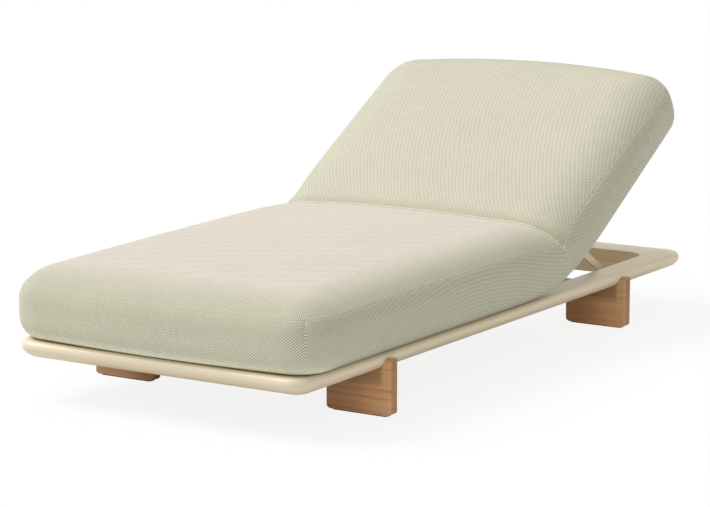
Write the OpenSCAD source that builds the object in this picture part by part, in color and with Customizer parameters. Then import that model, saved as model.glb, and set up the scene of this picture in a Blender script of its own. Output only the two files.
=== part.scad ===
/* [Frame] */
// length of the frame over its rounded edge
frame_len = 2100; // [1800:10:2300]
// width of the frame over its rounded edge
frame_w = 900; // [700:10:1100]
// thickness of the frame
frame_t = 47; // [44:1:54]
// height of the frame underside above the floor
frame_z = 117; // [105:1:190]
// plan radius of the frame corners
corner_r = 60; // [52:1:100]
// width of the flat border along the long sides
side_border = 75; // [65:1:95]
// width of the flat border at the head end
head_border = 115; // [90:1:150]
// width of the border at the foot end, under the cushion
foot_border = 75; // [65:1:95]
// wall of the hollow frame section
frame_wall = 3; // [2:0.5:4]
// width of the lip that carries the deck sheet
lip_w = 20; // [14:1:30]
// thickness of that lip
lip_t = 3; // [2:0.5:4]

/* [Deck] */
// thickness of the deck sheet under the seat
deck_t = 6; // [4:0.5:8]
// distance of the open ends of the deck strips from the head end of the frame
strip_in = 590; // [550:1:630]
// gap between the back frame and the cut in the deck sheet, at each side
deck_cut_gap = 7; // [5:1:12]
// width of a cross beam
beam_w = 40; // [34:1:60]
// height of a cross beam
beam_h = 27; // [22:1:28]
// wall of the cross beams
beam_wall = 2.5; // [2:0.5:4]
// end plate thickness of a cross beam
plate_t = 4; // [3:0.5:6]
// end plate length of a cross beam
plate_len = 88; // [80:1:110]
// height of the head beam below the frame
head_beam_h = 22; // [20:1:36]
// how far the head beam shows inside the opening
head_beam_shows = 23; // [18:1:30]

/* [Feet] */
// width of a foot across the lounger
foot_w = 200; // [160:1:220]
// thickness of a foot
foot_t = 33; // [28:1:45]
// how far the feet stand out past the frame
foot_out = 20.5; // [12:0.5:30]
// top of the horn that wraps the frame edge, above the frame underside
horn_h = 34; // [30:1:41]
// distance of the front feet from the foot end of the frame
foot_front_in = 369; // [290:1:450]
// distance of the rear feet from the head end of the frame, to their front faces
foot_rear_in = 437; // [350:1:480]
// thickness of the glide strip under a foot
pad_t = 3; // [2.5:0.5:6]
// radius of the lower corners of a foot
foot_corner_r = 18; // [12:1:30]
// rounding of the upright edges of a foot
foot_edge_r = 10; // [3:0.5:12]

/* [Back] */
// height of the hinge axis above the frame underside
axis_up = 33; // [32:0.5:34]
// distance of the hinge axis from the head end of the frame
axis_in = 814; // [790:1:850]
// angle the back stands at in the photograph
rest_deg = 30; // [20:1:35]
// room between the back frame and the sides of the opening, for the stay and the racks
back_room = 45; // [43:1:60]
// length from the hinge axis to the free end of the back frame
back_len = 690; // [660:1:694]
// width of the back frame tubes
tube_w = 30; // [26:1:36]
// height of the back frame tubes
tube_h = 24; // [20:0.5:24]
// wall of the back frame tubes
tube_wall = 2.5; // [2:0.5:3]
// thickness of the back panel sheet
panel_t = 4; // [3:0.5:4]
// length of the stay and distance of its pivot from the hinge axis
stay_len = 263; // [240:1:280]
// width of a stay arm
arm_w = 21; // [16:0.5:24]
// thickness of a stay arm
arm_t = 8; // [5:0.5:10]

/* [Cushions] */
// thickness of the cushions at their edges
cush_t = 205; // [150:1:220]
// how far the cushions stand past the sides of the frame at their widest
cush_over = 39; // [-20:1:50]
// how far the cushion base is drawn in from its widest line
draw_in = 48; // [20:1:60]
// height of the widest line above the base
draw_h = 73; // [50:1:90]
// how far the top edges round inward
top_in = 129; // [60:1:140]
// how far the top edges round downward
top_down = 99; // [60:1:115]
// plan radius of the cushion corners
cush_r = 121; // [60:1:140]
// extra height of the crown in the middle
crown_h = 11; // [0:1:25]
// bulge of the end faces at mid width
end_bulge = 18; // [0:1:35]
// how far the seat cushion stands past the foot end of the frame, before its bulge
seat_over = 0; // [-120:1:10]
// length of the back cushion from the fold to its end
back_reach = 870; // [700:1:900]
// radius of the soft bend under the fold
bend_r = 750; // [500:10:1000]
// extra half width at the middle of the sides
side_bulge = 2; // [0:1:10]
// rise of the cushion tops next to the fold
fold_rise = 0; // [0:1:15]
// how much thinner the back cushion is than the seat cushion
back_thin = 12; // [0:1:20]
// drop of the seat top towards the foot end
seat_drop = 18; // [0:1:25]
// gap kept between soft and other parts
soft_gap = 0.4; // [0.3:0.05:1]
// thickness of the grip strips under the cushions
grip_t = 1.6; // [1:0.1:2]

/* [Hidden] */
$fn = 64;
eps = frame_t / 1000;
nose_up_share = 0.34;
nose_low_share = 1.15;
room_r = 62;
half_turn = 180;
quarter_turn = 90;
half = 1 / 2;
fold_half = rest_deg / 2;
frame_top = frame_z + frame_t;
nose_up_r = frame_t * nose_up_share;
nose_low_r = frame_t * nose_low_share;
in_x = frame_w / 2 - side_border;
in_front = -frame_len / 2 + foot_border;
in_rear = frame_len / 2 - head_border;
axis_y = frame_len / 2 - axis_in;
axis_z = frame_z + axis_up;
strip_end_y = frame_len / 2 - strip_in;
foot_front_y = frame_len / 2 - foot_front_in;
foot_rear_y = frame_len / 2 - foot_rear_in;
back_half = in_x - back_room;
cush_half = frame_w / 2 + cush_over;
seat_reach = frame_len / 2 + seat_over;

// width of the hexagon socket in a head, as a share of its shank
hex_share = 0.7;

// running and fixing clearances
fit = 0.2;
run = 0.05;
slack = 0.4;

// deck values
deck_z = frame_top - deck_t;
lip_z = deck_z - lip_t;
beam_top = lip_z;
beam_z = beam_top - beam_h;
cut_x = back_half + deck_cut_gap;
hinge_beam_gap = 22;
hinge_beam_y = axis_y - hinge_beam_gap - beam_w / 2;
cut_y = axis_y - hinge_beam_gap;
front_beam_share = 0.78;
mid_beam_share = 0.2;
beam_front_y = in_front * front_beam_share;
beam_mid_y = in_front * mid_beam_share;
beam_screw_d = 6;
beam_head_d = 10;
beam_head_h = 3.5;
beam_screw_len = 12;
beam_screw_side = 12;
beam_screw_off = beam_w / 2 + beam_screw_side;

// back values
back_top = frame_top - axis_z;
panel_p = back_top - panel_t;
tube_top = panel_p;
tube_bot = panel_p - tube_h;
back_start = 14;
rear_tube_s = back_len - tube_w / 2;
front_tube_s = back_start + tube_w / 2;
mid_tube_share = 0.5;
mid_tube_s = back_start + (back_len - back_start) * mid_tube_share + tube_w;
tube_mid_p = (tube_top + tube_bot) / 2;
panel_side = 8;

// hinge values
pin_d = 10;
lug_r = 11;
lug_t = 5;
knuckle_w = 22;
hinge_in = 85;
hinge_x = back_half - hinge_in;
lug_side = 0.6;
bracket_base_t = 4;
bracket_w = 78;
bracket_h = 24;
bolt_d = 6;
bolt_head_d = 10;
bolt_head_h = 5.5;
pin_head_d = 15;
pin_head_h = 3;
knuckle_in = 3;

// stay values
shaft_d = 10;
bush_d = 14;
bush_flange_d = 20;
bush_flange_t = 1.5;
arm_gap = 12;
arm_x = back_half + bush_flange_t * 2 + arm_gap;
foot_pin_d = 12;
foot_pin_len = 16;
arm_hole_d = 6;

// rack values
rack_leg_t = 6;
rack_flange_t = 4;
rack_flange_w = 36;
rack_gap = 4;
notch_deep = 6;
notch_r = foot_pin_d / 2 + slack;
rack_margin = 34;
rack_x = in_x - rack_gap - rack_leg_t;
rack_top = axis_z - foot_pin_d / 2 - slack;
rack_degs = [rest_deg, rest_deg * 2 / 3, rest_deg / 3, 0];
foot_far = axis_y + 2 * stay_len;
foot_near = axis_y + 2 * stay_len * cos(rest_deg);
rack_screw_d = 5;
rack_head_d = 9;
rack_head_h = 3;
rack_screw_len = 9;

// foot values
foot_body = frame_z - pad_t;
foot_bolt_in = 42;
foot_bolt_gap = 20;
bolt_xs = [frame_w / 2 - foot_bolt_in, frame_w / 2 - foot_bolt_in - foot_bolt_gap];
foot_bolt_d = 8;
foot_bolt_head_d = 13;
foot_bolt_head_h = 8;
foot_bore_d = 16;
foot_bore_h = 52;
nut_plate_t = 6;
nut_plate_w = 24;
nut_plate_len = 37;
pad_r = 7;
horn_r_share = 0.49;
horn_in_share = 0.49;

// rest buffers and grips
buffer_d = 15;
buffer_x = 150;
buffer_stem_d = 6;
buffer_stem_h = 6;
buffer_tip_share = 0.8;
grip_w = 50;
grip_in = 90;
grip_x = back_half - grip_in;
grip_len_share = 0.7;

// cushion values
base_up = grip_t + soft_gap;
cush_z = frame_top + base_up;
base_p = cush_z - axis_z;
kink_y = axis_y - base_p * tan(fold_half);
kink_s = base_p * tan(fold_half);
bend_len = bend_r * tan(fold_half);
face_gap = soft_gap / 2 / cos(fold_half);
edge_round = 16;
end_draw_share = 0.4;
rise_len = 300;

// helpers
module round_rect(l, w, r) {
    translate([-w / 2 + r, -l / 2]) square([w - 2 * r, l]);
    translate([-w / 2, -l / 2 + r]) square([w, l - 2 * r]);
    for (sx = [-1, 1]) {
        for (sy = [-1, 1]) {
            translate([sx * (w / 2 - r), sy * (l / 2 - r)]) circle(r);
        }
    }
}

module nose_profile(reach, t, up_r, low_r) {
    // half section of the rounded edge, reach counted from the corner centre:
    // a small upper round and a long lower one that meet smoothly
    nx = reach - up_r;
    nz = t - up_r;
    run_x = sqrt(pow(low_r - up_r, 2) - pow(low_r - nz, 2));
    lx = nx - run_x;
    slope = run_x / (low_r - nz);
    cross_x = lx + (low_r - t) * slope;
    square([lx, t]);
    translate([nx, nz]) circle(up_r);
    intersection() {
        translate([lx, low_r]) circle(low_r);
        polygon([[lx - eps, -eps], [lx + low_r * slope, -eps], [lx + (low_r - nz) * slope, nz],
            [cross_x, t], [lx - eps, t]]);
    }
    intersection() {
        translate([lx, low_r]) circle(low_r);
        polygon([[lx - eps, -eps], [lx + low_r * slope, 0], [nx, nz], [lx - eps, nz]]);
    }
    polygon([[lx - eps, nz - eps], [nx, nz - eps], [nx, t], [lx - eps, t]]);
}

module nose_slab(l, w, t, cr, up_r, low_r) {
    // slab with the rounded edge all round
    cx = w / 2 - cr;
    cy = l / 2 - cr;
    box_at(-cx - cr / 3, cx + cr / 3, -cy, cy, 0, t);
    box_at(-cx, cx, -cy - cr / 3, cy + cr / 3, 0, t);
    for (q = [0 : 3]) {
        mx = (q == 0 || q == 3) ? 1 : -1;
        my = (q == 0 || q == 1) ? 1 : -1;
        translate([mx * cx, my * cy, 0])
        rotate([0, 0, q * quarter_turn])
        rotate_extrude(angle = quarter_turn)
        nose_profile(cr, t, up_r, low_r);
    }
    for (m = [0, 1]) {
        mirror([m, 0, 0])
        translate([cx, cy, 0])
        rotate([quarter_turn, 0, 0])
        linear_extrude(2 * cy) nose_profile(cr, t, up_r, low_r);
        mirror([0, m, 0])
        translate([-cx, cy, 0])
        rotate([quarter_turn, 0, quarter_turn])
        linear_extrude(2 * cx) nose_profile(cr, t, up_r, low_r);
    }
}

module frame_room(grow, z0, z1) {
    // opening of the ring, its corners at the head end rounded
    box_at(-in_x - grow, in_x + grow, in_front - grow, in_rear - room_r, z0, z1);
    box_at(-in_x + room_r, in_x - room_r, in_front - grow, in_rear + grow, z0, z1);
    for (s = [-1, 1]) {
        translate([s * (in_x - room_r), in_rear - room_r, z0])
        cylinder(h = z1 - z0, r = room_r + grow);
    }
}

module at_back() {
    // places what is drawn in the back's own frame: s along the back, p square to it
    translate([0, axis_y, axis_z])
    rotate([rest_deg, 0, 0])
    children();
}

module at_stay() {
    // places what is drawn along the stay, from its pivot to its foot
    translate([0, axis_y, axis_z])
    rotate([rest_deg, 0, 0])
    translate([0, stay_len, 0])
    rotate([-2 * rest_deg, 0, 0])
    children();
}

module cyl_x(x0, len, d) {
    translate([x0, 0, 0])
    rotate([0, quarter_turn, 0])
    cylinder(h = len, d = d);
}

module box_at(x0, x1, y0, y1, z0, z1) {
    translate([x0, y0, z0]) cube([x1 - x0, y1 - y0, z1 - z0]);
}

module frame_ring() {
    color([0.87, 0.8, 0.7])
    difference() {
        union() {
            difference() {
                translate([0, 0, frame_z])
                nose_slab(frame_len, frame_w, frame_t, corner_r, nose_up_r, nose_low_r);
                frame_room(0, frame_z - frame_t, frame_top + frame_t);
            }
            difference() {
                box_at(-in_x - frame_wall, in_x + frame_wall,
                    in_front - frame_wall, strip_end_y, lip_z, deck_z);
                box_at(-in_x + lip_w, in_x - lip_w,
                    in_front + lip_w, frame_len, lip_z - lip_t, deck_z + lip_t);
            }
        }
        // hollow of the frame section
        translate([0, 0, frame_z + frame_wall])
        difference() {
            nose_slab(frame_len - 2 * frame_wall, frame_w - 2 * frame_wall,
                frame_t - 2 * frame_wall, corner_r - frame_wall,
                nose_up_r - frame_wall, nose_low_r - frame_wall);
            frame_room(frame_wall, -frame_t, frame_t * 2);
        }
        foot_bolt_holes(foot_bolt_d + 2 * fit, frame_z - frame_t, frame_z + frame_wall + frame_t / 4);
        beam_screw_shafts(beam_screw_d + 2 * fit);
        rack_screw_shafts(rack_screw_d + 2 * fit);
        head_screw_shafts(beam_screw_d + 2 * fit);
        deck_screw_shafts(deck_screw_d + 2 * fit);
    }
}

// deck sheet and its screws
deck_screw_d = 5;
deck_head_d = 9.5;
deck_head_h = 3;
deck_screw_len = 9;
deck_screw_shares = [0.95, 0.45, 0.02, -0.42];
deck_screw_in = lip_w / 2;

module deck_screw_places() {
    for (s = [-1, 1]) {
        for (k = deck_screw_shares) {
            translate([s * (in_x - deck_screw_in), in_front * k, 0])
            children();
        }
    }
}

module deck_screw_shafts(d) {
    deck_screw_places()
    translate([0, 0, frame_top - deck_screw_len - slack])
    cylinder(h = deck_screw_len + slack, d = d);
}

module seat_deck() {
    color([0.8, 0.72, 0.6])
    difference() {
        box_at(-in_x + fit, in_x - fit, in_front + fit, strip_end_y, deck_z, frame_top);
        box_at(-cut_x, cut_x, cut_y, frame_len, deck_z - deck_t, frame_top + deck_t);
        deck_screw_shafts(deck_screw_d + 2 * fit);
        deck_screw_places()
        translate([0, 0, frame_top - deck_head_h - slack])
        cylinder(h = deck_head_h * 2, d = deck_head_d + 2 * fit);
    }
}

module deck_screws() {
    color([0.6, 0.6, 0.62])
    deck_screw_places()
    translate([0, 0, frame_top - slack]) {
        translate([0, 0, -deck_screw_len]) cylinder(h = deck_screw_len, d = deck_screw_d);
        difference() {
            translate([0, 0, -deck_head_h]) cylinder(h = deck_head_h, d = deck_head_d);
            translate([0, 0, -deck_head_h / 2])
            cylinder(h = deck_head_h, d = deck_screw_d * hex_share, $fn = 6);
        }
    }
}

// cross beams of the deck
module beam(y) {
    x1 = in_x - fit;
    difference() {
        union() {
            box_at(-x1, x1, y - beam_w / 2, y + beam_w / 2, beam_z, beam_top);
            for (s = [-1, 1]) {
                translate([s * (x1 - plate_t / 2), y, beam_z + beam_h / 2])
                cube([plate_t, plate_len, beam_h], center = true);
            }
        }
        box_at(-x1 - plate_t, x1 + plate_t, y - beam_w / 2 + beam_wall, y + beam_w / 2 - beam_wall,
            beam_z + beam_wall, beam_top - beam_wall);
        beam_screw_shafts(beam_screw_d + 2 * fit);
    }
}

beam_ys = [beam_front_y, beam_mid_y, hinge_beam_y];

module beam_screw_places() {
    for (y = beam_ys) {
        for (s = [-1, 1]) {
            for (k = [-1, 1]) {
                translate([s * (in_x - fit - plate_t), y + k * beam_screw_off, beam_z + beam_h / 2])
                rotate([0, s * quarter_turn, 0])
                children();
            }
        }
    }
}

module beam_screw_shafts(d) {
    beam_screw_places()
    translate([0, 0, -slack])
    cylinder(h = beam_screw_len + 2 * slack, d = d);
}

module beam_screws() {
    color([0.6, 0.6, 0.62])
    beam_screw_places() {
        cylinder(h = beam_screw_len, d = beam_screw_d);
        difference() {
            translate([0, 0, -beam_head_h]) cylinder(h = beam_head_h, d = beam_head_d);
            translate([0, 0, -beam_head_h - beam_head_h / 2])
            cylinder(h = beam_head_h, d = beam_screw_d * hex_share, $fn = 6);
        }
    }
}

module deck_beam_front() {
    color([0.62, 0.6, 0.57]) beam(beam_front_y);
}

module deck_beam_mid() {
    color([0.62, 0.6, 0.57]) beam(beam_mid_y);
}

module hinge_beam() {
    color([0.62, 0.6, 0.57])
    difference() {
        beam(hinge_beam_y);
        hinge_bolt_shafts(bolt_d + 2 * fit);
    }
}

module deck_pads() {
    // strips between the cross beams and the deck sheet
    color([0.12, 0.12, 0.12])
    for (y = beam_ys) {
        box_at(-in_x + lip_w * 2, in_x - lip_w * 2, y - beam_w / 4, y + beam_w / 4, beam_top, deck_z);
    }
}

// head beam under the head border
head_y0 = in_rear - head_beam_shows;
head_z0 = frame_z - head_beam_h;
head_beam_share = 0.8;
head_rise = 10;
head_beam_x = in_x * head_beam_share;
head_screw_shares = [-0.85, -0.3, 0.3, 0.85];
head_screw_grip = 9;
head_screw_len = head_beam_h + head_screw_grip;

module head_screw_places() {
    for (k = head_screw_shares) {
        translate([head_beam_x * k, in_rear + frame_wall + beam_w / 5, head_z0])
        children();
    }
}

module head_screw_shafts(d) {
    head_screw_places()
    translate([0, 0, -slack])
    cylinder(h = head_screw_len + 2 * slack, d = d);
}

module head_beam() {
    color([0.85, 0.78, 0.68])
    difference() {
        union() {
            box_at(-head_beam_x, head_beam_x, head_y0, head_y0 + beam_w, head_z0, frame_z);
            box_at(-head_beam_x, head_beam_x, head_y0, in_rear - fit, head_z0, frame_z + head_rise);
        }
        box_at(-head_beam_x * 2, head_beam_x * 2, head_y0 + beam_wall, head_y0 + beam_w - beam_wall,
            head_z0 + beam_wall, frame_z - beam_wall);
        box_at(-head_beam_x * 2, head_beam_x * 2, head_y0 + beam_wall, in_rear - fit - beam_wall,
            head_z0 + beam_wall, frame_z + head_rise - beam_wall);
        head_screw_shafts(beam_screw_d + 2 * fit);
        rest_buffer_places()
        translate([0, 0, -beam_wall * 2])
        cylinder(h = beam_wall * 4, d = buffer_stem_d + 2 * run);
    }
}

module head_beam_screws() {
    color([0.6, 0.6, 0.62])
    head_screw_places() {
        cylinder(h = head_screw_len, d = beam_screw_d);
        difference() {
            translate([0, 0, -beam_head_h]) cylinder(h = beam_head_h, d = beam_head_d);
            translate([0, 0, -beam_head_h - beam_head_h / 2])
            cylinder(h = beam_head_h, d = beam_screw_d * hex_share, $fn = 6);
        }
    }
}

module rest_buffer_places() {
    for (s = [-1, 1]) {
        translate([s * buffer_x, head_y0 + buffer_d / 2, frame_z + head_rise])
        children();
    }
}

module rest_buffers() {
    color([0.1, 0.1, 0.1])
    rest_buffer_places() {
        cylinder(h = axis_up + tube_bot - head_rise - slack, d1 = buffer_d,
            d2 = buffer_d * buffer_tip_share);
        translate([0, 0, -buffer_stem_h]) cylinder(h = buffer_stem_h + eps, d = buffer_stem_d);
    }
}

// feet
module foot_bolt_holes(d, z0, z1) {
    for (sx = [-1, 1]) {
        for (y = [-foot_front_y, foot_rear_y]) {
            for (x = bolt_xs) {
                translate([sx * x, y + foot_t / 2, z0])
                cylinder(h = z1 - z0, d = d);
            }
        }
    }
}

module foot_outline() {
    // outline of a foot seen from the front, outer side to the right
    x1 = frame_w / 2 + foot_out;
    x0 = x1 - foot_w;
    top_z = frame_z + horn_h;
    in_r = foot_out * horn_in_share;
    out_r = foot_out * horn_r_share;
    translate([x0 + foot_corner_r, pad_t]) square([foot_w - 2 * foot_corner_r, foot_body]);
    translate([x0, pad_t + foot_corner_r]) square([foot_w, foot_body - foot_corner_r]);
    translate([x0 + foot_corner_r, pad_t + foot_corner_r]) circle(foot_corner_r);
    translate([x1 - foot_corner_r, pad_t + foot_corner_r]) circle(foot_corner_r);
    translate([x1 - foot_out - corner_r, frame_z - eps])
    square([foot_out + corner_r, horn_h + eps - in_r]);
    translate([x1 - foot_out + in_r, frame_z - eps])
    square([foot_out - in_r - out_r, horn_h + eps]);
    translate([x1 - foot_out + in_r, frame_z - eps])
    square([foot_out - in_r, horn_h + eps - out_r]);
    intersection() {
        translate([x1 - foot_out + in_r, top_z - in_r]) circle(in_r);
        translate([x1 - foot_out, frame_z]) square([in_r + eps, horn_h]);
    }
    translate([x1 - out_r, top_z - out_r]) circle(out_r);
}

module foot_edge_cut(x, y, sx, sy) {
    // leaves a quarter-round on an upright edge
    translate([x, y, -frame_z])
    difference() {
        translate([sx > 0 ? 0 : -foot_edge_r, sy > 0 ? 0 : -foot_edge_r, 0])
        cube([foot_edge_r, foot_edge_r, frame_z * 3]);
        translate([0, 0, -frame_z]) cylinder(h = frame_z * 5, r = foot_edge_r);
    }
}

module foot(y) {
    x1 = frame_w / 2 + foot_out;
    x0 = x1 - foot_w;
    color([0.5, 0.33, 0.2])
    difference() {
        translate([0, y + foot_t, 0])
        rotate([quarter_turn, 0, 0])
        linear_extrude(foot_t)
        difference() {
            foot_outline();
            intersection() {
                translate([frame_w / 2 - corner_r, frame_z - fit])
                nose_profile(corner_r + fit, frame_t + 2 * fit, nose_up_r + fit, nose_low_r + fit);
                translate([0, frame_z]) square([frame_w, frame_t]);
            }
            translate([0, frame_z]) square([frame_w / 2 - corner_r + eps, frame_t]);
        }
        translate([0, 0, frame_z])
        foot_edge_cut(x1 - foot_edge_r, y + foot_edge_r, 1, -1);
        translate([0, 0, frame_z])
        foot_edge_cut(x1 - foot_edge_r, y + foot_t - foot_edge_r, 1, 1);
        translate([0, 0, frame_z])
        foot_edge_cut(x0 + foot_edge_r, y + foot_edge_r, -1, -1);
        translate([0, 0, frame_z])
        foot_edge_cut(x0 + foot_edge_r, y + foot_t - foot_edge_r, -1, 1);
        for (k = [0, 1]) {
            translate([frame_w / 2 - corner_r, y + (k == 0 ? foot_edge_r : foot_t - foot_edge_r),
                frame_z + horn_h - foot_edge_r])
            difference() {
                translate([0, k == 0 ? -foot_edge_r : 0, 0])
                cube([foot_w, foot_edge_r, foot_edge_r]);
                translate([-foot_w, 0, 0])
                rotate([0, quarter_turn, 0])
                cylinder(h = foot_w * 3, r = foot_edge_r);
            }
        }
        foot_bolt_holes(foot_bolt_d + 2 * fit, -frame_z, frame_z * 2);
        foot_bolt_holes(foot_bore_d, -frame_z, foot_bore_h);
    }
}

module foot_front_right() {
    foot(-foot_front_y);
}

module foot_front_left() {
    mirror([1, 0, 0]) foot(-foot_front_y);
}

module foot_rear_right() {
    foot(foot_rear_y);
}

module foot_rear_left() {
    mirror([1, 0, 0]) foot(foot_rear_y);
}

module foot_pads() {
    // glide strips, one under each foot
    x1 = frame_w / 2 + foot_out - foot_corner_r;
    len = foot_w - 2 * foot_corner_r;
    color([0.09, 0.08, 0.08])
    for (sx = [-1, 1]) {
        for (y = [-foot_front_y, foot_rear_y]) {
            translate([sx * (x1 - len / 2), y + foot_t / 2, 0])
            linear_extrude(pad_t)
            round_rect(foot_t - pad_r, len, pad_r);
        }
    }
}

module foot_bolts() {
    color([0.55, 0.55, 0.57])
    for (sx = [-1, 1]) {
        for (y = [-foot_front_y, foot_rear_y]) {
            for (x = bolt_xs) {
                translate([sx * x, y + foot_t / 2, 0])
                difference() {
                    union() {
                        translate([0, 0, foot_bore_h])
                        cylinder(h = frame_z + frame_wall + nut_plate_t + frame_wall - foot_bore_h,
                            d = foot_bolt_d);
                        translate([0, 0, foot_bore_h - foot_bolt_head_h])
                        cylinder(h = foot_bolt_head_h, d = foot_bolt_head_d);
                    }
                    translate([0, 0, foot_bore_h - foot_bolt_head_h - foot_bolt_head_h / 2])
                    cylinder(h = foot_bolt_head_h, d = foot_bolt_d * hex_share, $fn = 6);
                }
            }
        }
    }
}

module nut_plate_section() {
    // a plate that lies in the hollow of the frame, its outer end fitted to the round
    g = frame_wall + fit;
    intersection() {
        union() {
            translate([frame_w / 2 - corner_r, frame_z + g])
            nose_profile(corner_r - g, frame_t - 2 * g, nose_up_r - g, nose_low_r - g);
            translate([frame_w / 2 - corner_r - nut_plate_len, frame_z + g])
            square([nut_plate_len + eps, nut_plate_t]);
        }
        translate([(bolt_xs[0] + bolt_xs[1] - nut_plate_len) / 2, frame_z])
        square([nut_plate_len, g + nut_plate_t]);
    }
}

module foot_nut_plates() {
    color([0.5, 0.5, 0.52])
    difference() {
        for (sx = [-1, 1]) {
            for (y = [-foot_front_y, foot_rear_y]) {
                mirror([sx < 0 ? 1 : 0, 0, 0])
                translate([0, y + (foot_t + nut_plate_w) / 2, 0])
                rotate([quarter_turn, 0, 0])
                linear_extrude(nut_plate_w) nut_plate_section();
            }
        }
        foot_bolt_holes(foot_bolt_d + 2 * run, frame_z, frame_top);
    }
}

// hinges
module hinge_bolt_places() {
    for (s = [-1, 1]) {
        for (k = [-1, 1]) {
            translate([s * hinge_x + k * (bracket_w / 2 - bolt_head_d), cut_y + bracket_base_t,
                beam_z + beam_h / 2])
            rotate([-quarter_turn, 0, 0])
            children();
        }
    }
}

bolt_past = 8;
bolt_in = beam_wall + bracket_base_t + bolt_past;

module hinge_bolt_shafts(d) {
    hinge_bolt_places()
    translate([0, 0, -bolt_in - slack])
    cylinder(h = bolt_in + 2 * slack, d = d);
}

module hinge_bracket(x) {
    color([0.7, 0.68, 0.65])
    difference() {
        union() {
            box_at(x - bracket_w / 2, x + bracket_w / 2, cut_y, cut_y + bracket_base_t,
                axis_z - bracket_h / 2, axis_z + bracket_h / 2 - frame_wall);
            for (s = [-1, 1]) {
                translate([x + s * (knuckle_w / 2 + lug_side + lug_t / 2), axis_y, axis_z]) {
                    rotate([0, quarter_turn, 0])
                    cylinder(h = lug_t, r = lug_r, center = true);
                    translate([-lug_t / 2, -hinge_beam_gap, -lug_r])
                    cube([lug_t, hinge_beam_gap, lug_r * 2 - frame_wall]);
                }
            }
        }
        translate([0, axis_y, axis_z]) cyl_x(x - bracket_w, bracket_w * 2, pin_d + 2 * run);
        hinge_bolt_shafts(bolt_d + 2 * fit);
    }
}

module hinge_bracket_right() {
    hinge_bracket(hinge_x);
}

module hinge_bracket_left() {
    hinge_bracket(-hinge_x);
}

module hinge_bolts() {
    color([0.6, 0.6, 0.62])
    hinge_bolt_places()
    difference() {
        union() {
            translate([0, 0, -bolt_in]) cylinder(h = bolt_in, d = bolt_d);
            cylinder(h = bolt_head_h, d = bolt_head_d);
        }
        translate([0, 0, bolt_head_h * half])
        cylinder(h = bolt_head_h, d = bolt_d * hex_share, $fn = 6);
    }
}

pin_half = knuckle_w / 2 + lug_side + lug_t + run * 4;

module hinge_pins() {
    color([0.75, 0.75, 0.77])
    for (s = [-1, 1]) {
        translate([s * hinge_x, axis_y, axis_z]) {
            cyl_x(-pin_half, pin_half * 2, pin_d);
            for (k = [-1, 1]) {
                cyl_x(k > 0 ? pin_half : -pin_half - pin_head_h, pin_head_h, pin_head_d);
            }
        }
    }
}

// racks for the feet of the stay
rack_y0 = foot_near - rack_margin;
rack_y1 = foot_far + rack_margin;
rack_screw_ys = [rack_y0 + rack_margin / 2, (rack_y0 + rack_y1) / 2, rack_y1 - rack_margin / 2];
rack_screw_x = in_x + rack_flange_w / 2 - rack_gap;

module rack_screw_shafts(d) {
    for (s = [-1, 1]) {
        for (y = rack_screw_ys) {
            translate([s * rack_screw_x, y, frame_z - rack_flange_t - slack])
            cylinder(h = rack_screw_len + 2 * slack, d = d);
        }
    }
}

module rack(s) {
    color([0.72, 0.66, 0.58])
    difference() {
        union() {
            box_at(s > 0 ? rack_x : -rack_x - rack_leg_t, s > 0 ? rack_x + rack_leg_t : -rack_x,
                rack_y0, rack_y1, frame_z - rack_flange_t, rack_top);
            box_at(s > 0 ? rack_x : -rack_x - rack_flange_w, s > 0 ? rack_x + rack_flange_w : -rack_x,
                rack_y0, rack_y1, frame_z - rack_flange_t, frame_z);
        }
        for (d = rack_degs) {
            translate([0, axis_y + 2 * stay_len * cos(d), rack_top - notch_deep + notch_r])
            cyl_x(-frame_w / 2, frame_w, notch_r * 2);
        }
        rack_screw_shafts(rack_screw_d + 2 * fit);
    }
}

module rack_right() {
    rack(1);
}

module rack_left() {
    rack(-1);
}

module rack_screws() {
    color([0.6, 0.6, 0.62])
    for (s = [-1, 1]) {
        for (y = rack_screw_ys) {
            translate([s * rack_screw_x, y, frame_z - rack_flange_t]) {
                cylinder(h = rack_screw_len, d = rack_screw_d);
                translate([0, 0, -rack_head_h]) cylinder(h = rack_head_h, d = rack_head_d);
            }
        }
    }
}

// back frame, drawn in its own frame
module back_tube(x0, x1, s0, s1) {
    difference() {
        box_at(x0, x1, s0, s1, tube_bot, tube_top);
        box_at(x0 + tube_wall, x1 - tube_wall, s0 + tube_wall, s1 - tube_wall,
            tube_bot + tube_wall, tube_top - tube_wall);
    }
}

module back_frame() {
    side_in = back_half - tube_w;
    color([0.62, 0.6, 0.57])
    at_back()
    difference() {
        union() {
            for (s = [-1, 1]) {
                back_tube(s > 0 ? side_in : -back_half, s > 0 ? back_half : -side_in,
                    back_start, back_len);
            }
            for (c = [front_tube_s, mid_tube_s, rear_tube_s]) {
                back_tube(-side_in, side_in, c - tube_w / 2, c + tube_w / 2);
            }
            for (s = [-1, 1]) {
                translate([s * hinge_x - knuckle_w / 2, 0, 0]) {
                    rotate([0, quarter_turn, 0]) cylinder(h = knuckle_w, r = lug_r);
                    translate([0, 0, -lug_r]) cube([knuckle_w, back_start + eps, lug_r * 2 - knuckle_in]);
                }
            }
        }
        for (s = [-1, 1]) {
            cyl_x(s * hinge_x - knuckle_w, knuckle_w * 2, pin_d + 2 * run);
            translate([0, stay_len, 0])
            cyl_x(s > 0 ? side_in - tube_wall : -back_half - tube_wall,
                tube_w + 2 * tube_wall, bush_d + 2 * run);
        }
        panel_screw_shafts(panel_screw_d + 2 * fit);
    }
}

// back panel sheet
panel_screw_d = 4;
panel_head_d = 7.5;
panel_head_h = 2.2;
panel_screw_len = 8;
panel_screw_shares = [0.08, 0.3, 0.64, 0.92];

module panel_screw_places() {
    for (s = [-1, 1]) {
        for (k = panel_screw_shares) {
            translate([s * (back_half - tube_w / 2),
                back_start + (back_len - back_start) * k, back_top])
            children();
        }
    }
}

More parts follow.
